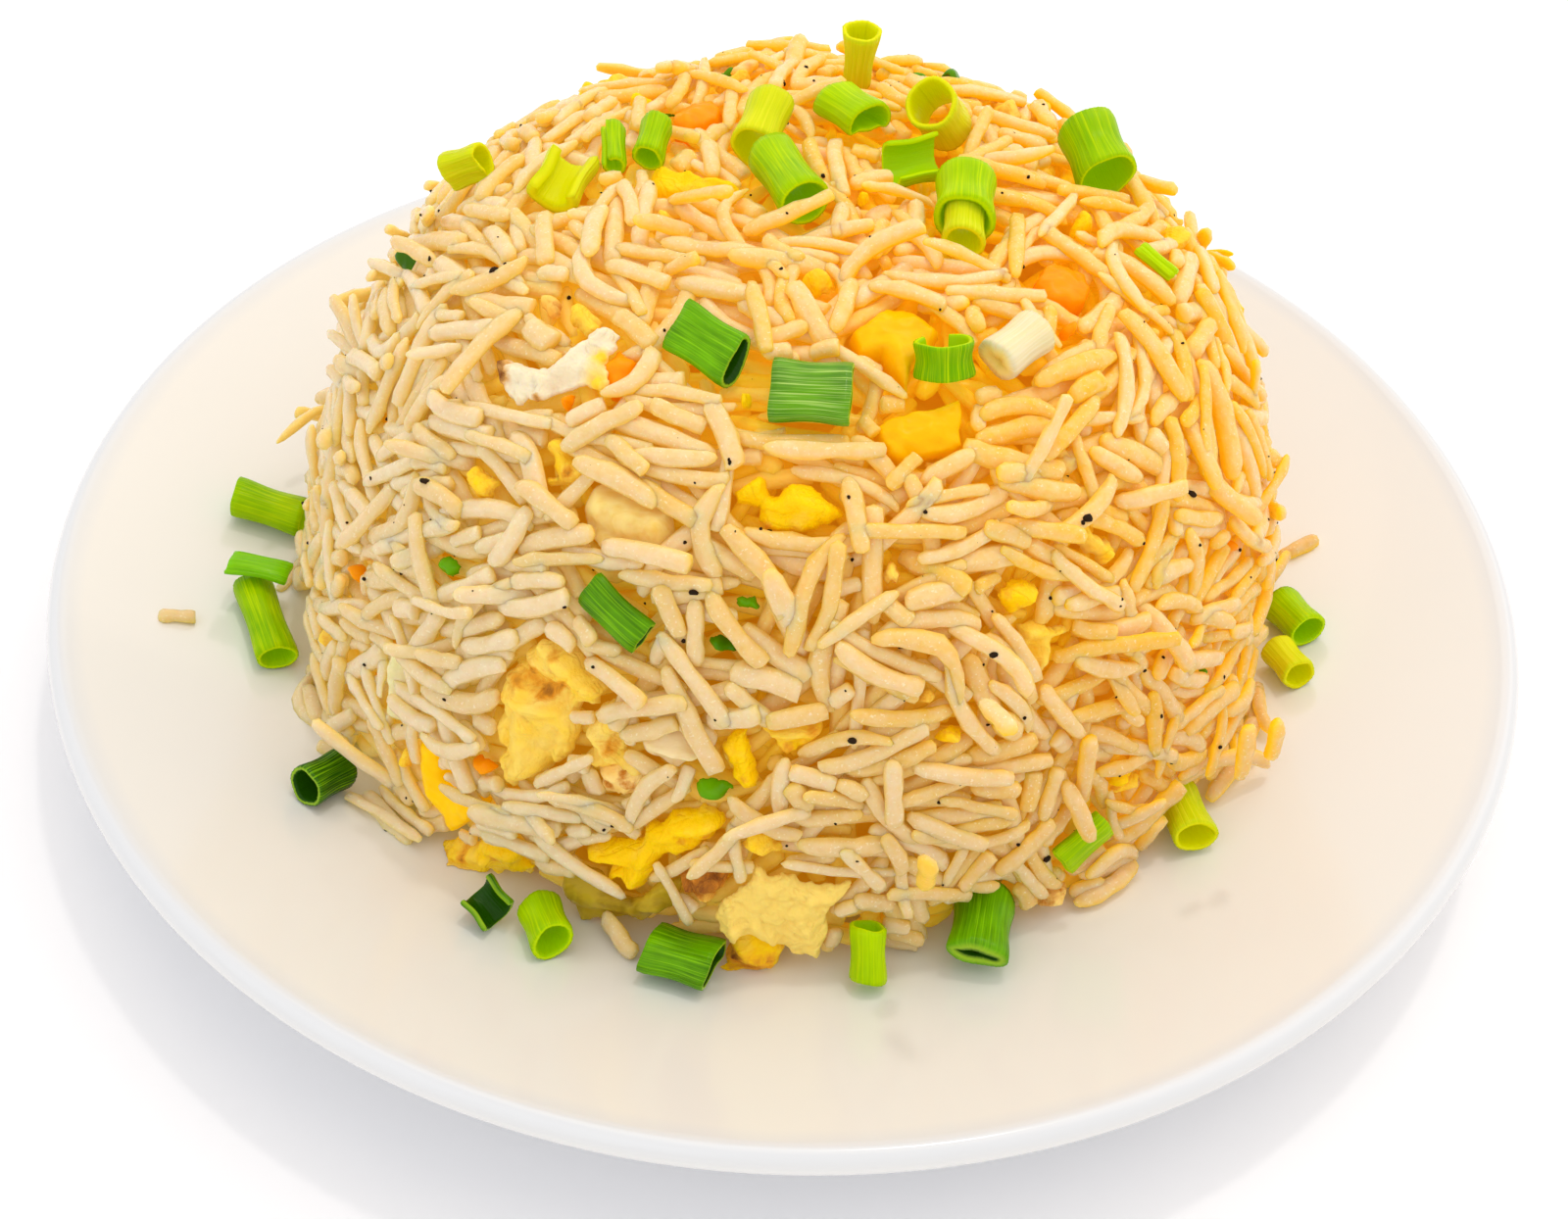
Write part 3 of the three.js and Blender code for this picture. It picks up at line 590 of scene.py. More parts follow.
def closed_piece(name, points, faces):
    """A smooth closed mesh from points in millimetres, its faces turned outward."""
    mesh = bpy.data.meshes.new(name)
    mesh.from_pydata(points * MM, [], faces)
    work = bmesh.new()
    work.from_mesh(mesh)
    bmesh.ops.recalc_face_normals(work, faces=work.faces)
    if work.calc_volume(signed=True) < 0:
        bmesh.ops.reverse_faces(work, faces=work.faces)
    work.to_mesh(mesh)
    work.free()
    mesh.shade_smooth()
    return new_object(name, mesh)


def torn_piece(name, sheet, chance, ragged=EGG_TEAR, rim=None, step=EGG_STEP, crease=0.0):
    """A soft sheet draped on the dome, folded, lumpy and creased, its rim sunk among the grains."""
    seed = chance.uniform(0, 9)
    thick, lines = sheet["thick"], np.array(sheet["folds"], float).reshape(-1, 6)

    def lay(flat, gap, swell):
        height = sheet["proud"] - sheet["sink"] * np.exp(-gap / SINK_WIDTH) - thick / 2 + swell
        height += sum(rise * wander(flat, size, seed + shift) for rise, size, shift in LUMPS)
        height -= crease * np.exp(-np.abs(wander(flat, CREASE_SIZE, seed + 9)) / CREASE_WIDTH)
        near = line_gaps(flat, lines[:, :2], lines[:, 2:4])
        height += FOLD_RISE * (lines[:, 5] * np.exp(-(near / lines[:, 4]) ** 2)).sum(1)
        return drape(*sheet["at"], flat, height)

    cut = torn(sheet["outline"], ragged, step, chance)
    return closed_sheet(name, cut, thick, rim or 0.45 * thick, step, chance, lay)


def carry(mesh, key, values):
    """One number for each point, or one for all, that the material reads."""
    layer = mesh.attributes.new(key, "FLOAT", "POINT")
    layer.data.foreach_set("value", np.broadcast_to(values, len(mesh.vertices)).astype(np.float32))


def spotted(flat, spots):
    """How near flat points lie to soft spots of a place and a size."""
    total = np.zeros(len(flat))
    for x, y, size in spots:
        total += np.exp(-((flat[:, 0] - x) ** 2 + (flat[:, 1] - y) ** 2) / size ** 2)
    return np.minimum(total, MOST_SPOTTED)


def read_attribute(tree, key):
    """What a number carried by the mesh says."""
    return add_node(tree, "ShaderNodeAttribute", attribute_name=key).outputs["Fac"]


def math_node(tree, operation, *values, **settings):
    """One sum with values or sockets."""
    node = add_node(tree, "ShaderNodeMath", dict(enumerate(values)), operation=operation, **settings)
    return node.outputs[0]


def shader_group(name, inputs, outputs):
    """An empty group of shader nodes with named sockets: what goes in, and the node to plug results into."""
    group = bpy.data.node_groups.new(name, "ShaderNodeTree")
    for way, sockets in (("INPUT", inputs), ("OUTPUT", outputs)):
        for label, kind in sockets.items():
            group.interface.new_socket(label, in_out=way, socket_type=f"NodeSocket{kind}")
    return group, group.nodes.new("NodeGroupInput").outputs, group.nodes.new("NodeGroupOutput")


def fried_group():
    """Set egg that is paler in patches, finely wrinkled, its wrinkle lines a little darker as painted shade
    in the creases, and crusted brown in others.
    """
    group, given, result = shader_group(
        "fried_egg_patches",
        {"Soft": "Color", "Pale": "Color", "Crust": "Color", "Paleness": "Float", "Browning": "Float"},
        {"Colour": "Color", "Height": "Float", "Roughness": "Float"})
    place = object_place(group)
    pale = math_node(group, "ADD", clouds(group, place, 260.0, 3.0), given["Paleness"])
    soft = blend(group, ramp(group, pale, 0.62, 1.25), given["Soft"], given["Pale"])
    wrinkles = clouds(group, place, 260.0, Distortion=0.8)
    line = ramp(group, math_node(group, "ABSOLUTE", math_node(group, "SUBTRACT", wrinkles, 0.5)), 0.07, 0.0)
    # Painted shade in the creases: the wrinkle lines are tinted a tenth of the way toward the crust colour.
    body = blend(group, math_node(group, "MULTIPLY", line, 0.1), soft, given["Crust"])
    scorch = clouds(group, place, 520.0, 5.0, Roughness=0.62, Distortion=0.6)
    heat = math_node(group, "MULTIPLY_ADD", given["Browning"], 0.6, scorch)
    light = ramp(group, heat, 0.66, 0.95)
    browned = blend(group, light, body, given["Crust"])
    lumps = math_node(group, "ADD", clouds(group, place, 1500.0, 3.0), scorch)
    plug(result, {
        "Colour": blend(group, ramp(group, heat, 0.95, 1.2), browned, (0.2, 0.06, 0.012, 1)),
        "Height": math_node(group, "MULTIPLY_ADD", line, -0.45, lumps),
        "Roughness": ramp(group, light, 0.0, 1.0, 0.4, 0.6)})
    return group


FRIED = fried_group()


def egg_finish(name, soft, pale, crust):
    """Moist set egg in the colours of one kind of curd. Its emission is painted light that lifts it where it
    lies in shade.
    """
    material, tree, shader = new_material(name)
    patches = add_node(tree, "ShaderNodeGroup", node_tree=FRIED, inputs={
        "Soft": soft, "Pale": pale, "Crust": crust,
        "Paleness": read_attribute(tree, "pale"), "Browning": read_attribute(tree, "crust")}).outputs
    # Painted light: the emission brightens the egg where it lies in shade.
    plug(shader, {
        "Base Color": patches["Colour"], "Roughness": patches["Roughness"],
        "Normal": relief(tree, patches["Height"], 0.8, 0.3), "Specular IOR Level": 0.1,
        "Emission Color": patches["Colour"], "Emission Strength": 0.13, "Subsurface Weight": 0.3,
        "Subsurface Radius": (1.0, 0.6, 0.2), "Subsurface Scale": 1.2 * MM})
    return material


EGG_FINISHES = {
    "egg_yellow": egg_finish(
        "yellow_egg", (0.95, 0.6, 0.001, 1), (0.9, 0.66, 0.15, 1), (0.74, 0.32, 0.02, 1)),
    "egg_white": egg_finish(
        "egg_white", (0.94, 0.62, 0.03, 1), (0.84, 0.75, 0.53, 1), (0.66, 0.36, 0.1, 1)),
    "egg_browned": egg_finish(
        "browned_egg", (0.93, 0.56, 0.08, 1), (0.9, 0.66, 0.24, 1), (0.55, 0.2, 0.02, 1)),
}
egg_chance = np.random.default_rng(EGG_SEED)
for node, egg in TORN_EGG.items():
    curd, flat, gap = torn_piece(f"curd_{node}", egg, egg_chance, crease=0.15 + 0.7 * min(egg["pale"], 0.6))
    slot = EGG_KINDS.get(node, "egg_yellow")
    carry(curd.data, "pale", egg["pale"] - 0.9 * spotted(flat, egg.get("yolky", ())))
    carry(curd.data, "crust", 0.1 * np.exp(-gap / 0.5) + 0.75 * spotted(flat, egg["toasted"]))
    curd.data.materials.append(EGG_FINISHES[slot])
    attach(curd, "root")
    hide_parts(node)

# Diced vegetables ------------------------------------------------------------------------
# Yellow sweet pepper and carrot cut into dice, and strips of onion and cabbage gone soft and
# half clear in the pan. All are wet with oil, with the fibres of the plant just showing.

VEGETABLE_SEED = 31
DICED_TEAR, DICED_RIM = 0.025, 0.55
LEAF_TEAR = 0.05
# As for the egg: place, thickness, how far it stands out and its rim sinks in, outline, folds.
DICED = {
    "yellow_pepper_top": dict(
        at=(15.2, 65.6), thick=3.0, proud=0.5, sink=0.7, slot="yellow_pepper",
        outline=((-4, 0), (1, 3.5), (4, 2), (6.5, -1.5), (2, -5.5), (0.5, -9.5), (-0.5, -5.5), (-1, -3),
                 (-3.5, -3)),
        folds=((-2.5, 0, 4, 0, 1.2, 0.3), (0.5, -2, 1, -7, 0.8, 0.3))),
    "yellow_pepper_front": dict(
        at=(16.7, 54.6), thick=3.2, proud=0.6, sink=0.8, slot="yellow_pepper",
        outline=((-5, 1.5), (-3.5, 2.5), (2.5, 3), (5.5, 3.5), (5, 0.5), (4.5, -0.5), (4.5, -2.5), (3, -3),
                 (-2.5, -3), (-4, -2)),
        folds=((-3, -1, 3, 1, 1.2, 0.3), (-3.5, 0, -1, -3.5, 0.5, -0.3))),
    "yellow_pepper_left": dict(
        at=(-36.7, 10.6), thick=3.2, proud=0.7, sink=0.8, slot="yellow_pepper",
        outline=((-4.5, 3), (-2, 4.2), (0.5, 5.5), (-0.5, 4), (0, 0.5), (1.5, -2), (4, -0.5), (7, -1),
                 (4.5, -5.5), (2.5, -8.5), (1, -7.5), (-1.5, -5.5), (-3, -4.5), (-4, -0.5)),
        folds=((-2.5, 3.5, -1, -4, 1.0, 0.3),)),
    "carrot_right": dict(
        at=(59.8, 62.5), thick=3.4, proud=0.9, sink=0.8, slot="carrot",
        outline=((-2, 3), (1, 3.5), (3, 3), (4, 0), (4, -1.5), (2, -3), (0, -3.5), (-2.5, -2.5), (-4, 0),
                 (-2.8, 2.5)),
        folds=((-2, 1, 2, 0.5, 1.0, 0.3),)),
    "carrot_back": dict(
        at=(-132.5, 70.8), thick=3.2, proud=1.3, sink=0.6, slot="carrot",
        outline=((-4.2, -2), (-3.6, 0.8), (-1.5, 2.6), (1.2, 2.8), (3.6, 1.8), (4.2, -0.6), (2, -2.4),
                 (-1.4, -3)),
        folds=((-2.5, 0, 2.5, 0.5, 1.0, 0.4),)),
    "carrot_left": dict(
        at=(-31.5, 56.3), thick=2.8, proud=0.3, sink=0.8, slot="carrot",
        outline=((-2, -0.5), (-2, 3), (1.5, 2), (2, 0), (1.5, -2), (0.5, -3)),
        folds=((-1, 0, 1, 1, 0.8, 0.3),)),
}
SOFT_LEAVES = {
    "white_onion_left": dict(
        at=(-21, 44.6), thick=1.3, proud=-0.3, sink=1.0, slot="onion_white",
        outline=((-5, 2.6), (-2.5, 4), (1, 3.8), (4.5, 2.4), (5.4, 0), (4.4, -2.6), (1, -4), (-2.6, -3.8),
                 (-5, -2), (-5.6, 0.6)),
        folds=((-3.5, 1, 3.5, 0.6, 1.6, 0.9), (-4, -1.6, 3.6, -2.2, 0.7, -0.5),
               (-3, 2.8, 3, 2.4, 0.6, -0.4))),
    "white_onion_low": dict(
        at=(-9.5, 28.6), thick=1.2, proud=-0.1, sink=1.0, slot="onion_white",
        outline=((-5.5, -4), (-3, -2), (-0.5, -2), (1, -3.5), (3, -4), (0.5, -5.5), (-0.5, -7), (-3.5, -6),
                 (-5, -5.5)),
        folds=((-4, -4, 1, -4.5, 1.2, 0.7), (-3, -5.5, 0, -5.5, 0.5, -0.4))),
    "cabbage_left": dict(
        at=(-45.5, 17.1), thick=1.2, proud=-0.2, sink=1.0, slot="cabbage",
        outline=((-3, 4), (-0.5, 5.5), (2, 4.5), (3, 2), (2.6, -1), (3.4, -4), (1.4, -6), (-1, -5.4),
                 (-2, -2), (-3.4, 0.6)),
        folds=((-1, 4, 0.5, -4.5, 1.2, 0.8), (1.6, 3, 2, -3, 0.5, -0.4))),
    "cabbage_low": dict(
        at=(-17.2, 7.4), thick=1.1, proud=-0.2, sink=0.9, slot="cabbage",
        outline=((-4.5, -1.5), (-3, 0.5), (0.5, 0.5), (2.5, -1.5), (5, -1.5), (8.5, 3), (11, 4), (10.5, -1),
                 (8, -3), (6.5, -5.5), (1.5, -6.5), (-1.5, -7.5), (-4.5, -4.5)),
        folds=((-3, -3, 8, -1, 1.6, 0.7), (6, 0, 9, 2.5, 0.8, 0.5), (-2, -5.5, 5, -4.5, 0.6, -0.4))),
}


def fibre_group():
    """Fine fibres and cells of cut vegetable, in two tones."""
    group, given, result = shader_group(
        "vegetable_fibres", {"Flesh": "Color", "Edge": "Color", "Fibre": "Float"},
        {"Colour": "Color", "Height": "Float"})
    place = object_place(group)
    squeeze = add_node(group, "ShaderNodeMapping", {"Vector": place, "Scale": (1.0, 3.5, 1.0)}).outputs[0]
    strand = clouds(group, squeeze, 520.0, 4.0, Roughness=0.6)
    streak = math_node(group, "MULTIPLY_ADD", strand, given["Fibre"], clouds(group, place, 260.0, 3.0))
    plug(result, {
        "Colour": blend(group, ramp(group, streak, 0.45, 1.0), given["Flesh"], given["Edge"]),
        "Height": strand})
    return group


FIBRES = fibre_group()


def vegetable_finish(name, flesh, edge, fibre, clear=0.3, depth=1.5, gloss=0.3, painted_glow=0.08):
    """Wet, cooked vegetable flesh. Its emission is painted light that lifts it where it lies in shade."""
    material, tree, shader = new_material(name)
    fibres = add_node(tree, "ShaderNodeGroup", {
        "Flesh": flesh, "Edge": edge, "Fibre": fibre}, node_tree=FIBRES).outputs
    plug(shader, {
        "Base Color": fibres["Colour"], "Normal": relief(tree, fibres["Height"], 0.35, 0.12),
        "Emission Color": fibres["Colour"], "Emission Strength": painted_glow, "Roughness": gloss,
        "Specular IOR Level": 0.1, "Subsurface Weight": clear, "Subsurface Radius": (1.0, 0.6, 0.2),
        "Subsurface Scale": depth * MM})
    return material


VEGETABLES = {
    "yellow_pepper": vegetable_finish("yellow_pepper", (0.88, 0.44, 0, 1), (0.93, 0.53, 0.001, 1), 0.6),
    "carrot": vegetable_finish("carrot", (0.92, 0.26, 0, 1), (0.95, 0.35, 0.002, 1), 0.5),
    "onion_white": vegetable_finish(
        "soft_onion", (0.72, 0.5, 0.2, 1), (0.86, 0.68, 0.4, 1), 0.8, 0.7, 3.0, 0.2),
    "cabbage": vegetable_finish(
        "soft_cabbage", (0.66, 0.58, 0.24, 1), (0.82, 0.76, 0.45, 1), 0.8, 0.7, 3.0, 0.2),
    # The pepper on the shaded left: a brighter copy with stronger emission, painted light against the shade.
    "yellow_pepper_left": vegetable_finish(
        "oiled_pepper", (0.9, 0.5, 0, 1), (0.94, 0.58, 0.001, 1), 0.6, painted_glow=0.24),
    "white_onion_left": vegetable_finish(
        "golden_onion", (0.8, 0.48, 0.05, 1), (0.9, 0.66, 0.24, 1), 0.8, 0.7, 3.0, 0.12),
    "cabbage_low": vegetable_finish(
        "oiled_cabbage", (0.2, 0.11, 0, 1), (0.5, 0.36, 0.02, 1), 0.8, 0.7, 3.0, 0.12),
}
vegetable_chance = np.random.default_rng(VEGETABLE_SEED)
for node, cut in (DICED | SOFT_LEAVES).items():
    ragged, rim = (DICED_TEAR, DICED_RIM) if node in DICED else (LEAF_TEAR, None)
    piece = torn_piece(f"cut_{node}", cut, vegetable_chance, ragged, rim)[0]
    piece.data.materials.append(VEGETABLES.get(node, VEGETABLES[cut["slot"]]))
    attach(piece, "root")
    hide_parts(node)

# Spring onion ----------------------------------------------------------------------------
# The green and pale parts of spring onion, sliced across into short tubes. The leaf is thin
# and ribbed lengthwise; the knife leaves the ends a little slanted, with a pale, wet rim.

LEAF_SEED = 100
LEAF_WALL = 0.7
LEAF_AROUND = 80
LEAF_RINGS = 12
# Uneven sides: how high each wave is, how many go round, and its twist from end to end.
LEAF_WAVES = ((0.09, 2, 1.5), (0.06, 3, 0), (0.04, 5, 2))
FLAT_TOGETHER = 0.9995
SAME_PLANE = 0.1
NEARLY_ROUND = 0.97
SLIT_GAP = 1.3
SLANT = 0.22
USUAL_LIGHT = (0.45, 0.75)
LEAST_HALF_HEIGHT = 0.15
RIB_DEPTH = 0.03
RIB_SPACING = 0.6
ROUND_CUT = 0.14
LEAF_GREEN = "spring_onion_green"
LEAF_DARK = "spring_onion_dark"
LEAF_PALE = "spring_onion_pale"
LEAF_SLOTS = {part["node"]: part["material_slot"] for part in frame["record"]["subparts"]
              if part["node"].startswith("spring_onion")}
# What is special about each cut, where anything is. wall: its thickness. flare: how much wider
# its upper end is. dent: how deep its top is dented. flat: how far its left end is pressed flat,
# or below 0 its right end. turn: how far its lengthwise slit is turned round it. gape: where the
# slit faces and how wide it is. light: from 0 for the dark top of the plant to 1.
CUTS = {
    "upright": dict(flare=0.35), "back_left": dict(dent=0.5), "white": dict(wall=1.9),
    "outer": dict(wall=0.9, light=0.8), "right": dict(light=0.45), "left_edge": dict(dent=0.4),
    "left_pale": dict(wall=1.4, turn=math.pi), "folded": dict(dent=0.25, flat=0.7, light=0.5),
    "pressed": dict(flat=0.1, light=0.35), "ring_front": dict(turn=math.pi, light=0.1),
    "shred": dict(light=0.9), "leaf_front": dict(light=0.3), "plate_left": dict(dent=0.2, light=0.45),
    "plate_over": dict(dent=0.4, light=1.0), "plate_under": dict(light=0.4),
    "plate_dark": dict(light=0.0), "plate_cup": dict(gape=((-0.1, -0.6, 0.8), 2.4), light=0.02),
    "plate_front": dict(dent=0.3, light=0.35), "plate_thin": dict(light=0.8),
    "plate_big": dict(wall=1.5, flat=0.5, light=0.55), "plate_right": dict(flat=-0.25, light=0.1),
}


def end_rings(node):
    """The corners of a cut length's two flat ends, and the direction it runs in."""
    mesh = frame["nodes"][node].data
    normals = np.array([face.normal for face in mesh.polygons])
    same = normals @ normals.T > FLAT_TOGETHER
    axis = normals[same.sum(1).argmax()]
    ends = []
    for side in (-1, 1):
        chosen = [mesh.polygons[i] for i in np.flatnonzero(normals @ axis * side > FLAT_TOGETHER)]
        corners = {tuple(np.round(np.array(mesh.vertices[v].co) / MM, 3)) for f in chosen for v in f.vertices}
        ends.append(np.array(sorted(corners)))
    return axis, ends[0], ends[1]


def outer_ellipse(corners, across, upward):
    """The ellipse through the outer corners of a flat end: middle, half widths, open part."""
    flat = np.stack([corners @ across, corners @ upward], 1)
    start = flat.mean(0)
    hull = flat[geometry.convex_hull_2d([tuple(p) for p in flat])] - start
    x, y = hull.T
    a, b, c, d, e = np.linalg.lstsq(np.stack([x * x, x * y, y * y, x, y], 1), np.ones(len(x)), rcond=None)[0]
    middle = -np.linalg.solve([[2 * a, b], [b, 2 * c]], [d, e])
    scale = 1 + middle @ np.array([[a, b / 2], [b / 2, c]]) @ middle
    size, turn = np.linalg.eigh(np.array([[a, b / 2], [b / 2, c]]) / scale)
    half = 1 / np.sqrt(size)
    angles = np.sort(np.arctan2(*(((hull - middle) @ turn) / half).T[::-1]))
    gaps = np.diff(np.append(angles, angles[0] + 2 * math.pi))
    widest = int(gaps.argmax())
    slit = (angles[widest], gaps[widest]) if gaps[widest] > SLIT_GAP * np.median(gaps) else None
    return start + middle, half, turn, slit


def vertex_places(mesh):
    """A mesh's points in millimetres."""
    points = np.empty(len(mesh.vertices) * 3, np.float32)
    mesh.vertices.foreach_get("co", points)
    return points.reshape(-1, 3).astype(float) / MM


def tube_fit(node):
    """Where a CAD tube lies: direction, end middles, bow, half widths, their directions, slit."""
    axis, near, far = end_rings(node)
    across = np.cross(axis, [0.3, 0.5, 0.81])
    across /= np.linalg.norm(across)
    upward = np.cross(axis, across)
    middle, half, turn, slit = outer_ellipse(near, across, upward)
    end_middle = outer_ellipse(far, across, upward)[0]
    first = middle[0] * across + middle[1] * upward + axis * (near @ axis).mean()
    last = end_middle[0] * across + end_middle[1] * upward + axis * (far @ axis).mean()
    wide_way = turn[0, 0] * across + turn[1, 0] * upward
    high_way = turn[0, 1] * across + turn[1, 1] * upward
    every = vertex_places(frame["nodes"][node].data)
    between = np.abs((every - (first + last) / 2) @ axis) < SAME_PLANE
    bow = every[between].mean(0) - (first + last) / 2 if between.any() else np.zeros(3)
    return axis, first, last, bow, half, wide_way, high_way, slit


def tube_faces(loops, count, split):
    """Faces between the loops of points of a tube's wall, and along the edges of a slit in it."""
    faces = []
    for row in range(loops):
        below, above = row * count, (row + 1) % loops * count
        for i in range(count - 1 if split else count):
            j = (i + 1) % count
            faces.append((below + i, below + j, above + j, above + i))
    if split:
        both = 2 * LEAF_RINGS
        edge = [[row, both - row, both - row - 1, row + 1] for row in range(LEAF_RINGS - 1)]
        edge += [[LEAF_RINGS - 1, LEAF_RINGS + 1, LEAF_RINGS], [both, 0, loops - 1]]
        faces += [[row * count for row in face] for face in edge]
        faces += [[row * count + count - 1 for row in face[::-1]] for face in edge]
    return faces


def sliced_leaf(name, node, seed):
    """A thin-walled, ribbed tube of leaf where the CAD tube lies, slit open where that one is."""
    own = CUTS.get(node.removeprefix("spring_onion_"), {})
    wall = own.get("wall", LEAF_WALL)
    axis, first, last, bow, half, wide_way, high_way, slit = tube_fit(node)
    length = np.linalg.norm(last - first)
    chance = np.random.default_rng(seed)
    phase = chance.uniform(0, 2 * math.pi, 6)
    if "flat" in own and half[1] > NEARLY_ROUND * half[0]:
        wide_way = np.cross((0, 0, 1), axis)
        wide_way /= np.linalg.norm(wide_way)
        high_way = np.cross(axis, wide_way)
    if "gape" in own:
        toward, opening = own["gape"]
        slit = (math.atan2(high_way @ toward, wide_way @ toward) - opening / 2, opening)
    split = slit and "flat" not in own
    if split:
        start = slit[0] + own.get("turn", 0)
        angles = np.linspace(start + slit[1], start + 2 * math.pi, LEAF_AROUND)
    else:
        angles = np.arange(LEAF_AROUND) * 2 * math.pi / LEAF_AROUND
    ribs = round(math.pi * half.sum() / RIB_SPACING)
    flare, dent, flatten = (own.get(key, 0) for key in ("flare", "dent", "flat"))
    sign = 1 if last[2] > first[2] else -1
    right = 1 if last[0] > first[0] else -1
    slant = chance.normal(0, SLANT, 2) * min(1, length / 8)

    def ring(step, inset, trim):
        """One loop of points at a step from end to end, that far inside the outer skin."""
        run = step - 0.5
        grow = 1 + flare * (0.5 + sign * run) ** 2 - 0.05 * math.cos(2 * math.pi * run)
        wave = sum(high * np.sin(many * angles + start + twist * step)
                   for (high, many, twist), start in zip(LEAF_WAVES, phase))
        rib = np.cos(ribs * angles + phase[3]) + 0.7 * np.cos(round(0.6 * ribs) * angles + phase[4])
        rib = RIB_DEPTH * rib
        skin = wave + (rib if inset < wall else 0.4 * rib) - inset
        high = half[1] * (1 - abs(flatten) * (0.5 - right * math.copysign(1, flatten) * run))
        press = dent * high * np.exp(-((np.sin(angles) - 1) / 0.35) ** 2) * (1 - 0.3 * run)
        reach_wide = (half[0] * grow + skin) * np.cos(angles)
        reach_high = np.maximum(high * grow + skin, LEAST_HALF_HEIGHT) * np.sin(angles) - press
        cut = slant[0] * np.cos(angles) + slant[1] * np.sin(angles) + 0.06 * np.sin(4 * angles + phase[5])
        along = length * run * (1 - trim) + cut * (2 * abs(run)) ** 3
        centre = (first + last) / 2 + bow * (1 - (2 * run) ** 2)
        across_cut = wide_way * reach_wide[:, None]
        return centre + axis * along[:, None] + across_cut + high_way * reach_high[:, None]

    steps = np.linspace(0, 1, LEAF_RINGS)
    trim = 2 * ROUND_CUT * 0.6 / length
    rows = [(s, 0.0 if 0 < s < 1 else ROUND_CUT * 0.5, trim if s in (0, 1) else 0, 0.0) for s in steps]
    rows += [(1, wall / 2, 0, 0.8)]
    rows += [(s, wall if 0 < s < 1 else wall - ROUND_CUT * 0.5, trim if s in (0, 1) else 0, 1.0)
             for s in steps[::-1]]
    rows += [(0, wall / 2, 0, 0.8)]
    points = np.vstack([ring(*row[:3]) for row in rows])
    count, loops = len(angles), len(rows)
    leaf = closed_piece(name, points, tube_faces(loops, count, split))
    mesh = leaf.data
    carry(mesh, "pith", np.repeat([row[3] for row in rows], count))
    carry(mesh, "young", own.get("light", chance.uniform(*USUAL_LIGHT)))
    strip = mesh.uv_layers.new(name="leaf")
    loops_to = np.array([loop.vertex_index for loop in mesh.loops])
    spot = np.stack([np.tile(angles * half.mean(), loops),
                     np.repeat([row[0] * length for row in rows], count)], 1)
    strip.data.foreach_set("uv", spot[loops_to].astype(np.float32).ravel())
    return leaf


def leaf_group():
    """Lengthwise ribs and cloudy green of an onion leaf, pale lengthwise stripes that are partly its own
    striations and partly a painted sheen, and paler at its cut rims and inside, which its emission also
    lights as painted light.
    """
    group, given, result = shader_group(
        "onion_leaf",
        {"Deep": "Color", "Light": "Color", "Pith": "Color", "Hollow": "Color", "Vein and Sheen": "Color",
         "Inside": "Float", "Young": "Float"},
        {"Colour": "Color", "Painted Glow": "Color", "Height": "Float"})
    strip = add_node(group, "ShaderNodeUVMap", uv_map="leaf").outputs["UV"]

    def lengthwise(scale, detail):
        drawn_out = add_node(group, "ShaderNodeMapping", {"Vector": strip, "Scale": scale}).outputs[0]
        return clouds(group, drawn_out, 1.0, detail)

    ribs = lengthwise((3.4, 0.16, 1.0), 3.0)
    patches = math_node(group, "MULTIPLY_ADD", ribs, 0.8, clouds(group, object_place(group), 190.0))
    light = ramp(group, math_node(group, "ADD", given["Young"], patches), 0.8, 1.9)
    # Pale lengthwise stripes: partly the leaf's own striations, partly a painted sheen along its ribs.
    vein_and_sheen = ramp(group, lengthwise((5.5, 0.1, 1.0), 1.0), 0.5, 0.7, high=0.6)
    ribbed = blend(group, vein_and_sheen, blend(group, light, given["Deep"], given["Light"]), given["Vein and Sheen"])
    inner = blend(group, ramp(group, given["Inside"], 0.85, 1.0), given["Pith"], given["Hollow"])
    plug(result, {
        "Colour": blend(group, given["Inside"], ribbed, inner),
        "Painted Glow": blend(group, given["Inside"], (0, 0, 0, 1), inner), "Height": ribs})
    return group


LEAF = leaf_group()


def leaf_finish(name, deep, light, pith, hollow, vein_and_sheen, shine=0.05):
    """Moist, glossy onion leaf in one shade of green. Its thin walls let some light through, and its emission
    paints light on its cut rims and inside.
    """
    material, tree, shader = new_material(name)
    leaf = add_node(tree, "ShaderNodeGroup", node_tree=LEAF, inputs={
        "Deep": deep, "Light": light, "Pith": pith, "Hollow": hollow, "Vein and Sheen": vein_and_sheen,
        "Inside": read_attribute(tree, "pith"), "Young": read_attribute(tree, "young")}).outputs
    plug(shader, {
        "Base Color": leaf["Colour"], "Normal": relief(tree, leaf["Height"], 0.7, 0.16),
        "Emission Color": leaf["Painted Glow"], "Emission Strength": 0.2, "Roughness": 0.2,
        "Specular IOR Level": shine, "Subsurface Weight": 0.25, "Subsurface Radius": (0.5, 1.0, 0.1),
        "Subsurface Scale": 1.0 * MM})
    return material


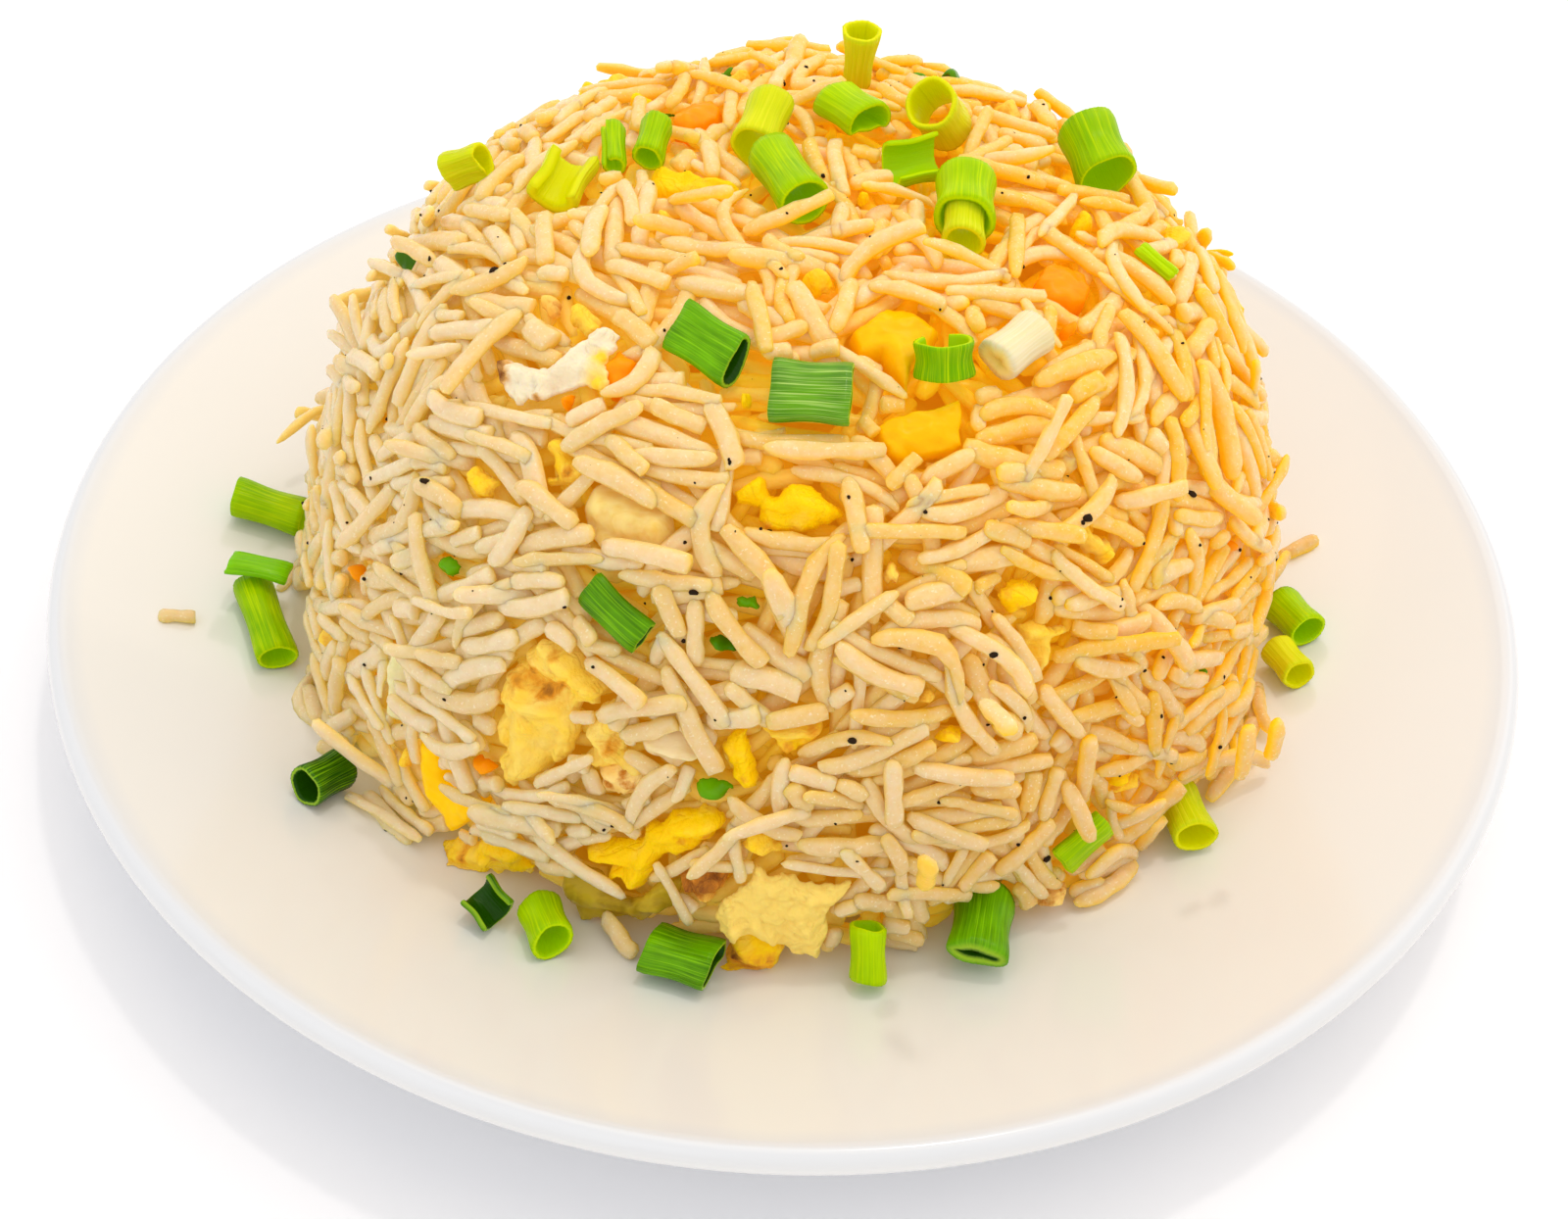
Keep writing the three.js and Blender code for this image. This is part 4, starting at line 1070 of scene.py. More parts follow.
LEAVES = {
    LEAF_GREEN: leaf_finish("green_leaf", (0.13, 0.38, 0, 1), (0.46, 0.7, 0, 1), (0.5, 0.68, 0, 1),
                            (0.3, 0.52, 0, 1), (0.62, 0.78, 0, 1)),
    LEAF_DARK: leaf_finish("dark_leaf", (0.012, 0.07, 0, 1), (0.2, 0.56, 0, 1), (0.3, 0.48, 0.02, 1),
                           (0.012, 0.06, 0, 1), (0.3, 0.66, 0.005, 1), 0.12),
    LEAF_PALE: leaf_finish("pale_leaf", (0.5, 0.62, 0, 1), (0.76, 0.76, 0.01, 1), (0.68, 0.66, 0.003, 1),
                           (0.6, 0.6, 0, 1), (0.8, 0.8, 0.03, 1)),
    "onion_white": leaf_finish(
        "white_leaf", (0.82, 0.66, 0.3, 1), (0.88, 0.79, 0.52, 1), (0.84, 0.62, 0.16, 1),
        (0.8, 0.56, 0.12, 1), (0.9, 0.82, 0.62, 1)),
    # The pressed piece: wetter and glossier, its very pale stripes mostly a painted sheen.
    "spring_onion_pressed": leaf_finish(
        "wet_leaf", (0.02, 0.12, 0, 1), (0.2, 0.52, 0.003, 1), (0.4, 0.58, 0.01, 1), (0.05, 0.2, 0, 1),
        (0.6, 0.84, 0.2, 1), 0.25),
}
LEAVES["spring_onion_plate_right"] = LEAVES[LEAF_PALE]

for number, (node, slot) in enumerate(LEAF_SLOTS.items()):
    leaf = sliced_leaf(f"sliced_{node}", node, LEAF_SEED + number)
    leaf.data.materials.append(LEAVES.get(node, LEAVES[slot]))
    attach(leaf, "root")
    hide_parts(node)

# Crumbs of egg and vegetable -------------------------------------------------------------
# Bits too small to be pieces of their own, broken off by the ladle: egg, both soft and
# browned, carrot, and leaf. They are pressed into the outside of the heap among the grains.

CRUMB_SEED = 23
CRUMB_CORNERS = 9
CRUMB_WIDEST = 3.5
# Each crumb's place on the dome in degrees, width and height.
SOFT_EGG_CRUMBS = (
    (-41, 42, 5.6, 3.6), (26, 39, 5.5, 3.3), (-1, 17, 5.3, 2.7), (39.5, 14, 5.5, 2.7), (-130, 63, 4.7, 3.4),
    (-43, 59, 5.2, 3.8), (82.5, 63.5, 3.6, 3.3), (64, 53.5, 3.2, 2.1), (11, 43, 1.8, 3.3),
    (71.5, 41.5, 2.1, 2.3), (17.5, 27.5, 3.5, 2.2), (-60.5, 11.5, 3.8, 3.3), (-1, 72, 4.3, 3.4),
    (60, 85, 2.4, 1.7), (40.5, 12.5, 5.1, 1.8), (-42, 9.5, 1.9, 3.7), (-10, 57, 1.4, 2.1),
    (-61, 72, 2.6, 2.4), (15, 31.5, 2.2, 1.6))
BROWN_EGG_CRUMBS = ((-51, 58, 2.6, 2.4), (30.5, 3.5, 4.4, 3.2))
CARROT_CRUMBS = (
    (-35.5, 52, 1.6, 2.0), (49.5, 59, 2.5, 2.0), (61, 30.5, 2.1, 2.6), (-57, 23, 4.0, 2.5),
    (-31, 16, 3.1, 2.1))
LEAF_CRUMBS = (
    (-41, 33.5, 4.4, 2.5), (-5, 40, 3.2, 1.7), (-7, 36, 4.4, 2.1), (-6.5, 22, 5.0, 2.5), (75, 53.5, 3.5, 1.0),
    (-128, 67, 5.0, 1.0), (53, 19.5, 1.9, 1.9))


def far_side(count, widest, chance):
    """Places and sizes of bits on the back of the heap, thrown there at random."""
    azimuth = np.linspace(92, 268, count) + chance.uniform(-9, 9, count)
    climb = np.degrees(np.arcsin(chance.uniform(0.12, 0.93, count)))
    wide = widest * chance.uniform(0.45, 1, count)
    return np.stack([azimuth, climb, wide, wide * chance.uniform(0.45, 0.8, count)], 1)


def crumb(azimuth, climb, wide, high, plump, chance):
    """One small torn bit, its rim sunk among the grains."""
    small = min(wide, high)
    stout = min(small, CRUMB_WIDEST)
    body = plump * stout
    turns = np.arange(CRUMB_CORNERS) + chance.uniform(-0.35, 0.35, CRUMB_CORNERS)
    turns = turns * 2 * math.pi / CRUMB_CORNERS
    reach = chance.uniform(0.3, 0.58, CRUMB_CORNERS)[:, None]
    outline = np.stack([np.cos(turns) * wide, np.sin(turns) * high], 1) * reach
    ridge = (*chance.uniform(-0.3, 0.3, 4) * (wide, high, wide, high), 0.3 * small, 0.3 * small)
    sheet = dict(at=(azimuth, climb), outline=outline, thick=body + 0.4, proud=0.3 + 0.35 * body, sink=0.5,
                 folds=ridge)
    return torn_piece("crumb", sheet, chance, rim=0.22 * stout, step=max(0.2, 0.13 * stout), crease=0.2)


def crumbs(name, places, behind, plump, material, chance):
    """All the bits of one kind as one piece: those with a place of their own, and some behind."""
    bits = []
    for place in np.vstack([places, far_side(*behind, chance)]):
        bit, _, gap = crumb(*place, plump, chance)
        tone = chance.random()
        carry(bit.data, "pale", 0.6 * tone)
        carry(bit.data, "crust", 0.3 * np.exp(-gap / 0.5) + 0.3 * tone)
        carry(bit.data, "young", 0.2 + 0.4 * tone)
        carry(bit.data, "pith", 0)
        bit.data.materials.append(material)
        bits.append(bit)
    with bpy.context.temp_override(active_object=bits[0], selected_editable_objects=bits):
        bpy.ops.object.join()
    bits[0].name = bits[0].data.name = name
    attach(bits[0], "root")


crumb_chance = np.random.default_rng(CRUMB_SEED)
crumbs("crumbs_soft_egg", SOFT_EGG_CRUMBS, (26, 8.5), 0.5, EGG_FINISHES["egg_yellow"],
       crumb_chance)
crumbs("crumbs_browned_egg", BROWN_EGG_CRUMBS, (7, 5.0), 0.6, EGG_FINISHES["egg_browned"],
       crumb_chance)
crumbs("crumbs_carrot", CARROT_CRUMBS, (8, 5.0), 0.6, VEGETABLES["carrot"], crumb_chance)
crumbs("crumbs_leaf", LEAF_CRUMBS, (11, 6.5), 0.15, LEAVES[LEAF_DARK], crumb_chance)

# What the grains settle on ---------------------------------------------------------------
# Grains come to rest on each other and round the toppings, which stay bare on top. The dome
# is kept as a flat map of heights over its smooth shape.

MAP_CELL = 0.4
SHELL_DEPTH = 7.0
SAMPLE_STEP = 0.4
NO_CEILING = 1e3
# Grains that lie along the wall: how many on the left, which starts there, and elsewhere, which
# way they point, how that leans to the sides, and its spread.
LEFT_SIDE = -0.3
LEVEL_LEFT, LEVEL_ELSEWHERE = 0.7, 0.3
LEVEL_WAY, LEVEL_LEAN, LEVEL_SPREAD = 1.57, 0.5, 0.4


def surface_samples(mesh, step):
    """Points less than about a step apart all over a surface, in millimetres."""
    places = vertex_places(mesh)
    edges = np.array([edge.vertices for edge in mesh.edges])
    start, end = places[edges[:, 0]], places[edges[:, 1]]
    rows = [places, (start + end) / 2]
    longest = np.linalg.norm(end - start, axis=1)
    rows += [(start + (end - start) * share)[longest > 2 * step] for share in (0.25, 0.75)]
    return np.vstack(rows)


class Bed:
    """What grains settle on: heights over a flat map of the surface, one number a cell."""

    around = np.array([(i, j) for i in (-1, 0, 1) for j in (-1, 0, 1)]) * MAP_CELL

    def __init__(self, half, floor):
        self.cells = int(2 * half / MAP_CELL) + 1
        self.half = half
        self.height = np.full((self.cells, self.cells), float(floor))
        self.ceiling = np.full((self.cells, self.cells), NO_CEILING)

    def cell(self, spots):
        index = np.clip(((spots + self.half) / MAP_CELL).astype(int), 0, self.cells - 1)
        return index[..., 0], index[..., 1]

    def headings(self, spots, chance):
        """Which way grains dropped there may lie: any way."""
        return chance.uniform(0, math.pi, len(spots))

    def raise_to(self, spots, heights):
        np.maximum.at(self.height, self.cell(spots), heights)

    def cover(self, spots, heights):
        """Raises the bed to a topping's points and the cells next to them."""
        for step in self.around:
            self.raise_to(spots + step, heights)

    def keep_under(self, spots, heights):
        """Lowers the ceiling to a topping's points and the cells next to them."""
        for step in self.around:
            np.minimum.at(self.ceiling, self.cell(spots + step), heights)


class DomeBed(Bed):
    """The dome laid flat: a map point's distance from the middle is its way down the dome."""

    def stretch(self, spots):
        """Map steps that one millimetre down the dome and one millimetre round it make."""
        arc = np.maximum(np.linalg.norm(spots, axis=-1), 1e-3)
        down = spots / arc[:, None]
        widen = arc / np.maximum(np.interp(arc, ARC, ARC_OUT), 1e-3)
        around = np.stack([down[:, 1], -down[:, 0]], -1) * widen[:, None]
        return down, around

    def headings(self, spots, chance):
        """Which way grains lie: many along the wall, most of all on the left, the others any way."""
        turn = np.arctan2(spots[:, 0], spots[:, 1])
        level = chance.random(len(spots)) < np.where(turn < LEFT_SIDE, LEVEL_LEFT, LEVEL_ELSEWHERE)
        way = chance.normal(LEVEL_WAY - LEVEL_LEAN * np.clip(turn, -0.7, 0.7), LEVEL_SPREAD)
        return np.where(level, way, super().headings(spots, chance))

    def frames(self, spots):
        arc = np.linalg.norm(spots, axis=-1)
        return dome_frames(arc, np.arctan2(spots[:, 0], spots[:, 1]))

    def limit(self, spots):
        arc = np.linalg.norm(spots, axis=-1)
        up, out = np.interp(arc, ARC, ARC_UP), np.interp(arc, ARC, ARC_OUT)
        return packed_bulge(np.arctan2(spots[:, 0], spots[:, 1]), np.arctan2(up, out))


dome = DomeBed(half=ARC[-1] + 2, floor=-SHELL_DEPTH)
blocked = []


def from_middle(turn, out):
    """Flat points at a turn round the middle and a distance from it."""
    return np.stack([np.sin(turn), np.cos(turn)], 1) * out[:, None]


def block(points):
    """Keeps rice off a topping: what lies under it stays below, what comes later lies on it."""
    arc, azimuth, height = dome_place(points)
    spots = from_middle(azimuth, arc)
    blocked.append((spots, height))
    dome.keep_under(spots, height)


toppings = [piece for piece in bpy.data.objects
            if piece.name.startswith(("curd_", "cut_", "sliced_", "crumbs_"))]
for piece in toppings:
    samples = surface_samples(piece.data, SAMPLE_STEP)
    samples = samples[dome_place(samples)[0] < ARC[-1] - 0.3]
    if len(samples):
        block(samples)

# Packed middle of the heap ---------------------------------------------------------------
# Inside the outer grains the rice is one pressed mass, golden with egg and oil, and deeper
# golden as painted shade, with faint painted light from its emission. Only its outside can be
# glimpsed, down the gaps between the grains that lie over it.

CORE_LIFT = 0.3
CORE_SIDES = 160


def core_profile():
    """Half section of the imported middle, one shell of grains inside the dome's surface."""
    inside = ARC_OUT + SHELL_DEPTH * ARC_SLOPE[:, 1]
    height = ARC_UP - SHELL_DEPTH * ARC_SLOPE[:, 0] + DOME_BASE
    keep = (height > plate_top(inside) + 1.5) & (inside > 0.5)
    sides = np.stack([inside[keep], height[keep]], 1)[::-6]
    edge = sides[0][0]
    floor = [(radius, plate_top(radius) + CORE_LIFT) for radius in (0, WELL_RADIUS - 4, edge - 1)]
    return np.array(floor + [tuple(p) for p in sides] + [(0, DOME_HEIGHT + DOME_BASE - SHELL_DEPTH)])


def packed_finish():
    """Golden with egg and oil, deepened as painted shade in the gaps, with faint painted light from its
    emission and the pattern of the grains in it.
    """
    material, tree, shader = new_material("packed_rice")
    grains = add_node(tree, "ShaderNodeTexVoronoi", {
        "Vector": object_place(tree), "Scale": 330.0}).outputs["Distance"]
    tone = blend(tree, grains, (0.93, 0.56, 0.02, 1), (0.85, 0.44, 0.005, 1))
    plug(shader, {
        "Base Color": tone, "Normal": relief(tree, grains, 0.8, 0.8), "Emission Color": tone,
        "Emission Strength": 0.1, "Roughness": 0.5, "Specular IOR Level": 0.1})
    return material


core = new_object("rice_core", turned("rice_core", core_profile(), CORE_SIDES))
for vertex in core.data.vertices:
    vertex.co.x += (DOME_CENTRE[0] + DOME_LEAN * (vertex.co.z / MM - DOME_BASE) / DOME_HEIGHT) * MM
    vertex.co.y += DOME_CENTRE[1] * MM
core.data.materials.append(packed_finish())
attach(core, "root")
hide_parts("rice_mound")

# Rice ------------------------------------------------------------------------------------
# Cooked long-grain rice, 7 to 15 mm long and about 2.2 mm wide, with tapered, round or cut
# ends. Grains lie on each other in every direction, some bent, most flush, a few proud.

RICE_SEED = 7
# A whole grain's length and width: usual, spread, least and most.
GRAIN_LENGTHS = (11.0, 2.1, 7.0, 15.5)
GRAIN_WIDTHS = (2.2, 0.34, 1.5, 3.1)
GRAIN_FLATNESS = (0.68, 0.88)
BROKEN_LENGTHS = (2.8, 7.0)
BROKEN_SHARE = 0.16
PROUD_SHARE = 0.35
PLACES_SEEN = 400
PLACES_TRIED = 40
GRAIN_COUNT = 4000
FILLER_COUNT = 900
INNER_SPARE = -1.6
FILLER_SPARE = 0.6
STEEPEST = 0.75
GRAIN_GIVE = 0.35
TAPER_POWER = 2.6
# Where a grain feels for what is under it, as shares of its length and width.
FELT_ALONG = np.linspace(-0.42, 0.42, 9)
FELT_ACROSS = np.array([-0.36, 0.0, 0.36])
BURIED = 0.8
NEAR_SURFACE = 0.3
BARE_ABOVE_TOPPING = 2.5
# How far below the outline a grain must lie to be wholly painted in the golden shade of the gaps.
SHADED_DEPTH = 2.6
LIFTED_SHARE = 0.14
LIFTED_TILT = (0.15, 0.6)
BENT_SHARE = 0.12
MOST_BEND = 2.6
# Each shape's bluntness at its two ends, and how much wider it is toward one of them.
GRAIN_SHAPES = ((6.0, 14.0, 0.1), (8.0, 24.0, 0.06), (3.6, 7.0, 0.16), (14.0, 28.0, -0.05), (7.0, 24.0, -0.1),
                (5.0, 6.0, 0.0))
GRAIN_CHANCES = (0.22, 0.22, 0.14, 0.16, 0.16, 0.1)


def tapered(along):
    """How wide a grain is at shares of its length from its middle, as a share of its width."""
    return np.sqrt(1 - np.abs(2 * along) ** TAPER_POWER)


def lie(bed, spots, heading, length, width, thick):
    """Rests a straight grain at each map point and heading. Gives middle height, slope, top, room."""
    along, across = FELT_ALONG, FELT_ACROSS
    down, around = bed.stretch(spots)
    ahead = down * np.cos(heading)[:, None] + around * np.sin(heading)[:, None]
    aside = -down * np.sin(heading)[:, None] + around * np.cos(heading)[:, None]
    where = (spots[:, None, None] + ahead[:, None, None] * (length * along)[None, :, None, None]
             + aside[:, None, None] * (width * across)[None, None, :, None])
    cell = bed.cell(where)
    section = np.sqrt(1 - (2 * across) ** 2)
    half = thick / 2 * tapered(along)
    rest = (bed.height[cell] - GRAIN_GIVE + half[None, :, None] * section).max(2)
    reach = length * along
    left, right = slice(0, 4), slice(5, 9)
    ti, tj = reach[left][:, None], reach[right][None]
    ci, cj = rest[:, left, None], rest[:, None, right]
    middle = np.maximum(((ci * tj - cj * ti) / (tj - ti)).max((1, 2)), rest[:, 4])
    least = ((rest[:, right] - middle[:, None]) / reach[right]).max(1)
    most = ((rest[:, left] - middle[:, None]) / reach[left]).min(1)
    slope = np.clip(0, least, most)
    line = middle[:, None] + slope[:, None] * reach
    top = (line + half).max(1)
    room = (bed.ceiling[cell].min(2) - line - half).min(1)
    return middle, slope, top, room


def footprint(bed, grain):
    """Map points all over a grain that has come to rest, and the grain's top there."""
    length, width, thick = grain["length"], grain["width"], grain["thick"]
    along = np.linspace(-0.49, 0.49, int(length / 0.24))[:, None]
    across = np.linspace(-0.95, 0.95, int(width / 0.22))[None]
    taper = tapered(along)
    down, around = bed.stretch(grain["spot"][None])
    cos, sin = math.cos(grain["heading"]), math.sin(grain["heading"])
    ahead, aside = down[0] * cos + around[0] * sin, -down[0] * sin + around[0] * cos
    where = (grain["spot"] + ahead * (length * along)[..., None]
             + aside * (width / 2 * across * taper)[..., None])
    top = (grain["middle"] + grain["slope"] * length * along
           + thick / 2 * taper * np.sqrt(1 - across ** 2))
    return where, top


def natural(chance, usual, spread, least, most):
    """A size that varies about the usual one."""
    return float(np.clip(chance.normal(usual, spread), least, most))


def settle(bed, chance, count, spare, choose, ok, broken=BROKEN_SHARE, patience=60):
    """Drops grains one at a time, each where it lies lowest out of a handful of places."""
    grains = []
    misses = 0
    while len(grains) < count and misses < patience:
        if chance.random() < broken:
            length = chance.uniform(*BROKEN_LENGTHS)
        else:
            length = natural(chance, *GRAIN_LENGTHS)
        width = natural(chance, *GRAIN_WIDTHS)
        thick = width * chance.uniform(*GRAIN_FLATNESS)
        spots = np.tile(choose(chance), (2, 1))
        heading = bed.headings(spots, chance)
        middle, slope, top, room = lie(bed, spots, heading, length, width, thick)
        over = top - bed.limit(spots) - spare(chance)
        fits = (over < 0) & (np.abs(slope) < STEEPEST) & (room > 0) & ok(spots, heading, length)
        if not fits.any():
            misses += 1
            continue
        misses = 0
        best = int(np.where(fits, top - bed.limit(spots) + chance.uniform(0, 0.8, len(spots)), 1e3).argmin())
        grain = dict(spot=spots[best], heading=heading[best], length=length, width=width,
                     thick=thick, middle=middle[best], slope=slope[best], top=top[best])
        grains.append(grain)
        bed.raise_to(*footprint(bed, grain))
    return grains


def shows(grain):
    """Whether any of a grain can be seen past the ones that came to rest on it."""
    where, top = footprint(dome, grain)
    return (dome.height[dome.cell(where)] - top).min() < BURIED


def dome_spots(chance):
    """Some places on the dome, most of them where the bed is still low."""
    arc = (ARC[-1] - 1) * np.sqrt(chance.random(PLACES_SEEN))
    turn = chance.uniform(-math.pi, math.pi, PLACES_SEEN)
    spots = from_middle(turn, arc)
    low = dome.height[dome.cell(spots)] - dome.limit(spots) + chance.uniform(0, 1.5, PLACES_SEEN)
    return spots[low.argsort()[:PLACES_TRIED]]


def tips(bed, spots, heading, length):
    """The map points of both ends of a grain at each place and heading."""
    down, around = bed.stretch(spots)
    ahead = down * np.cos(heading)[:, None] + around * np.sin(heading)[:, None]
    return np.stack([spots + ahead * length * end for end in (-0.5, 0.5)])


def above_plate(spots, heading, length):
    """Whether both ends of a grain on the dome stay clear of the plate below."""
    arc = np.linalg.norm(tips(dome, spots, heading, length), axis=-1)
    up = np.interp(arc, ARC, ARC_UP) + DOME_BASE
    out = np.interp(arc, ARC, ARC_OUT)
    return ((up > plate_top(out) + 1.2) & (arc < ARC[-1])).all(0)


def rough_spare(chance):
    """How far past the outline the next grain may stand: most are flush, some are proud."""
    return chance.uniform(0.9, 2.6) if chance.random() < PROUD_SHARE else 0.5


def point_cloud(name, place, turn, **values):
    """A mesh of one point a bit, which carries how each lies and looks."""
    mesh = bpy.data.meshes.new(name)
    mesh.from_pydata(place * MM, [], [])
    quaternions = [tuple(Matrix(axes).transposed().to_quaternion()) for axes in turn]
    layer = mesh.attributes.new("turn", "QUATERNION", "POINT")
    layer.data.foreach_set("value", np.array(quaternions, np.float32).ravel())
    for key, value in values.items():
        value = np.asarray(value, np.float32)
        kind, field = ("FLOAT_VECTOR", "vector") if value.ndim == 2 else ("FLOAT", "value")
        layer = mesh.attributes.new(key, kind, "POINT")
        layer.data.foreach_set(field, value.ravel())
    return new_object(name, mesh)


def grain_points(name, bed, grains, chance):
    """Where each grain lies, how it is bent, and how it looks."""
    count = len(grains)
    point, down, around, outward = bed.frames(np.array([g["spot"] for g in grains]))
    heading, slope, middle = (
        np.array([g[key] for g in grains])[:, None] for key in ("heading", "slope", "middle"))
    axis = unit(down * np.cos(heading) + around * np.sin(heading) + outward * slope)
    side = unit(np.cross(outward, axis))
    face = np.cross(axis, side)
    size = np.array([[g["width"], g["thick"], g["length"]] for g in grains])
    limp = (size[:, 2:] / GRAIN_LENGTHS[0]) ** 2
    curl = np.where(chance.random(count) < BENT_SHARE, 1.7, 0.55)
    bend = np.clip(chance.normal(0, curl), -MOST_BEND, MOST_BEND)[:, None] * limp
    drop = chance.uniform(0.1, 0.45, count)[:, None] * limp
    return point_cloud(name, point + outward * middle, np.stack([side, face, axis], 1), size=size * MM,
                       sag=(side * bend - face * drop) * MM, skew=chance.uniform(-0.6, 0.6, count),
                       shape=chance.choice(len(GRAIN_SHAPES), count, p=GRAIN_CHANCES),
                       tone=chance.random(count), depth=[g["depth"] for g in grains])


def open_tree(name, sizes):
    """A geometry tree with named inputs, and what goes in."""
    tree = bpy.data.node_groups.new(name, "GeometryNodeTree")
    for way in ("INPUT", "OUTPUT"):
        tree.interface.new_socket("Geometry", in_out=way, socket_type="NodeSocketGeometry")
    for label, (kind, value) in sizes.items():
        socket = tree.interface.new_socket(label, in_out="INPUT", socket_type=f"NodeSocket{kind}")
        socket.default_value = value
    return tree, add_node(tree, "NodeGroupInput").outputs


def carried(tree, key, kind="FLOAT"):
    """What an attribute of the points says."""
    node = add_node(tree, "GeometryNodeInputNamedAttribute", {"Name": key}, data_type=kind)
    return node.outputs["Attribute"]


def spread_over(tree, given, shape, **settings):
    """Puts the shape on every point, turned and sized as the point says, as real mesh."""
    spread = add_node(tree, "GeometryNodeInstanceOnPoints", {
        "Points": given["Geometry"], "Instance": shape, "Rotation": carried(tree, "turn", "QUATERNION"),
        "Scale": carried(tree, "size", "FLOAT_VECTOR"), **settings})
    return add_node(tree, "GeometryNodeRealizeInstances", {"Geometry": spread.outputs[0]}).outputs[0]


def vector_math(tree, operation, inputs):
    """One sum with vectors."""
    return add_node(tree, "ShaderNodeVectorMath", inputs, operation=operation).outputs[0]


def roughened(tree, shape, scale, height, seed):
    """Moves a surface in and out along its normals by a noise of that scale and height."""
    place = add_node(tree, "GeometryNodeInputPosition").outputs[0]
    shifted = vector_math(tree, "ADD", {0: place, 1: (seed, seed, seed)})
    wave = math_node(tree, "SUBTRACT", clouds(tree, shifted, scale, Roughness=0.55), 0.5)
    normal = add_node(tree, "GeometryNodeInputNormal").outputs[0]
    along = vector_math(tree, "SCALE", {0: normal, "Scale": math_node(tree, "MULTIPLY", wave, height)})
    return add_node(tree, "GeometryNodeSetPosition", {"Geometry": shape, "Offset": along}).outputs["Geometry"]


def close_tree(tree, shape, material):
    """Smooth shading and the finish, and then the way out."""
    smooth = add_node(tree, "GeometryNodeSetShadeSmooth", {"Geometry": shape})
    finish = add_node(tree, "GeometryNodeSetMaterial", {"Geometry": smooth.outputs[0], "Material": material})
    add_node(tree, "NodeGroupOutput", {"Geometry": finish.outputs[0]})
    return tree


def made_real(piece):
    """Keeps the plain mesh that a piece's modifiers make, without the modifiers."""
    shown = piece.evaluated_get(bpy.context.evaluated_depsgraph_get())
    mesh = bpy.data.meshes.new_from_object(shown)
    piece.modifiers.clear()
    piece.data = mesh
    return piece


def grown(piece, tree):
    """Runs a geometry tree on a piece and keeps the plain mesh that it makes."""
    piece.modifiers.new(tree.name, "NODES").node_group = tree
    return made_real(piece)


def girth(tree, taken, least):
    """How wide a round body still is where that share of its section is taken away."""
    left = math_node(tree, "MAXIMUM", math_node(tree, "SUBTRACT", 1.0, taken), least)
    return math_node(tree, "SQRT", left)


def grain_tree(material):
    """One of a few grain shapes on every point, each grain bent in its own way."""
    tree, given = open_tree("rice_grains", {"Sides": ("Int", 8), "Rings": ("Int", 9)})
    ball = add_node(tree, "GeometryNodeMeshUVSphere", {
        "Radius": 0.5, "Segments": given["Sides"], "Rings": given["Rings"]}).outputs["Mesh"]
    split = split_up(tree, add_node(tree, "GeometryNodeInputPosition").outputs[0])
    along = math_node(tree, "MULTIPLY", split["Z"], 2.0)
    far = math_node(tree, "ABSOLUTE", along)
    ball_width = girth(tree, math_node(tree, "MULTIPLY", far, far), 0.0025)
    upper_half = math_node(tree, "GREATER_THAN", along, 0.0)
    shapes = add_node(tree, "GeometryNodeGeometryToInstance")
    for low_end, high_end, pinch in reversed(GRAIN_SHAPES):
        power = math_node(tree, "MULTIPLY_ADD", upper_half, high_end - low_end, low_end)
        full = girth(tree, math_node(tree, "POWER", far, power), 0.0)
        pinched = math_node(tree, "MULTIPLY", full, math_node(tree, "SUBTRACT", 1.0, math_node(
            tree, "MULTIPLY", along, pinch / 2)))
        swell = math_node(tree, "DIVIDE", pinched, ball_width)
        wide, high = (math_node(tree, "MULTIPLY", split[axis], swell) for axis in "XY")
        shape = add_node(tree, "ShaderNodeCombineXYZ", {"X": wide, "Y": high, "Z": split["Z"]}).outputs[0]
        grain = add_node(tree, "GeometryNodeSetPosition", {"Geometry": ball, "Position": shape}).outputs[0]
        for key, value in (("along", along), ("rise", split["Y"])):
            grain = add_node(tree, "GeometryNodeStoreNamedAttribute", {
                "Geometry": grain, "Name": key, "Value": value}, data_type="FLOAT", domain="POINT").outputs[0]
        tree.links.new(grain, shapes.inputs[0])
    grains = spread_over(tree, given, shapes.outputs[0], **{
        "Pick Instance": True, "Instance Index": carried(tree, "shape")})
    along = carried(tree, "along")
    square = math_node(tree, "MULTIPLY", along, along)
    bow = math_node(tree, "MULTIPLY_ADD", math_node(tree, "MULTIPLY", square, along), carried(tree, "skew"),
                    math_node(tree, "SUBTRACT", square, 0.33))
    offset = vector_math(tree, "SCALE", {0: carried(tree, "sag", "FLOAT_VECTOR"), "Scale": bow})
    bent = add_node(tree, "GeometryNodeSetPosition", {"Geometry": grains, "Offset": offset}).outputs[0]
    return close_tree(tree, roughened(tree, bent, 430.0, 1.2 * MM, 1.3), material)


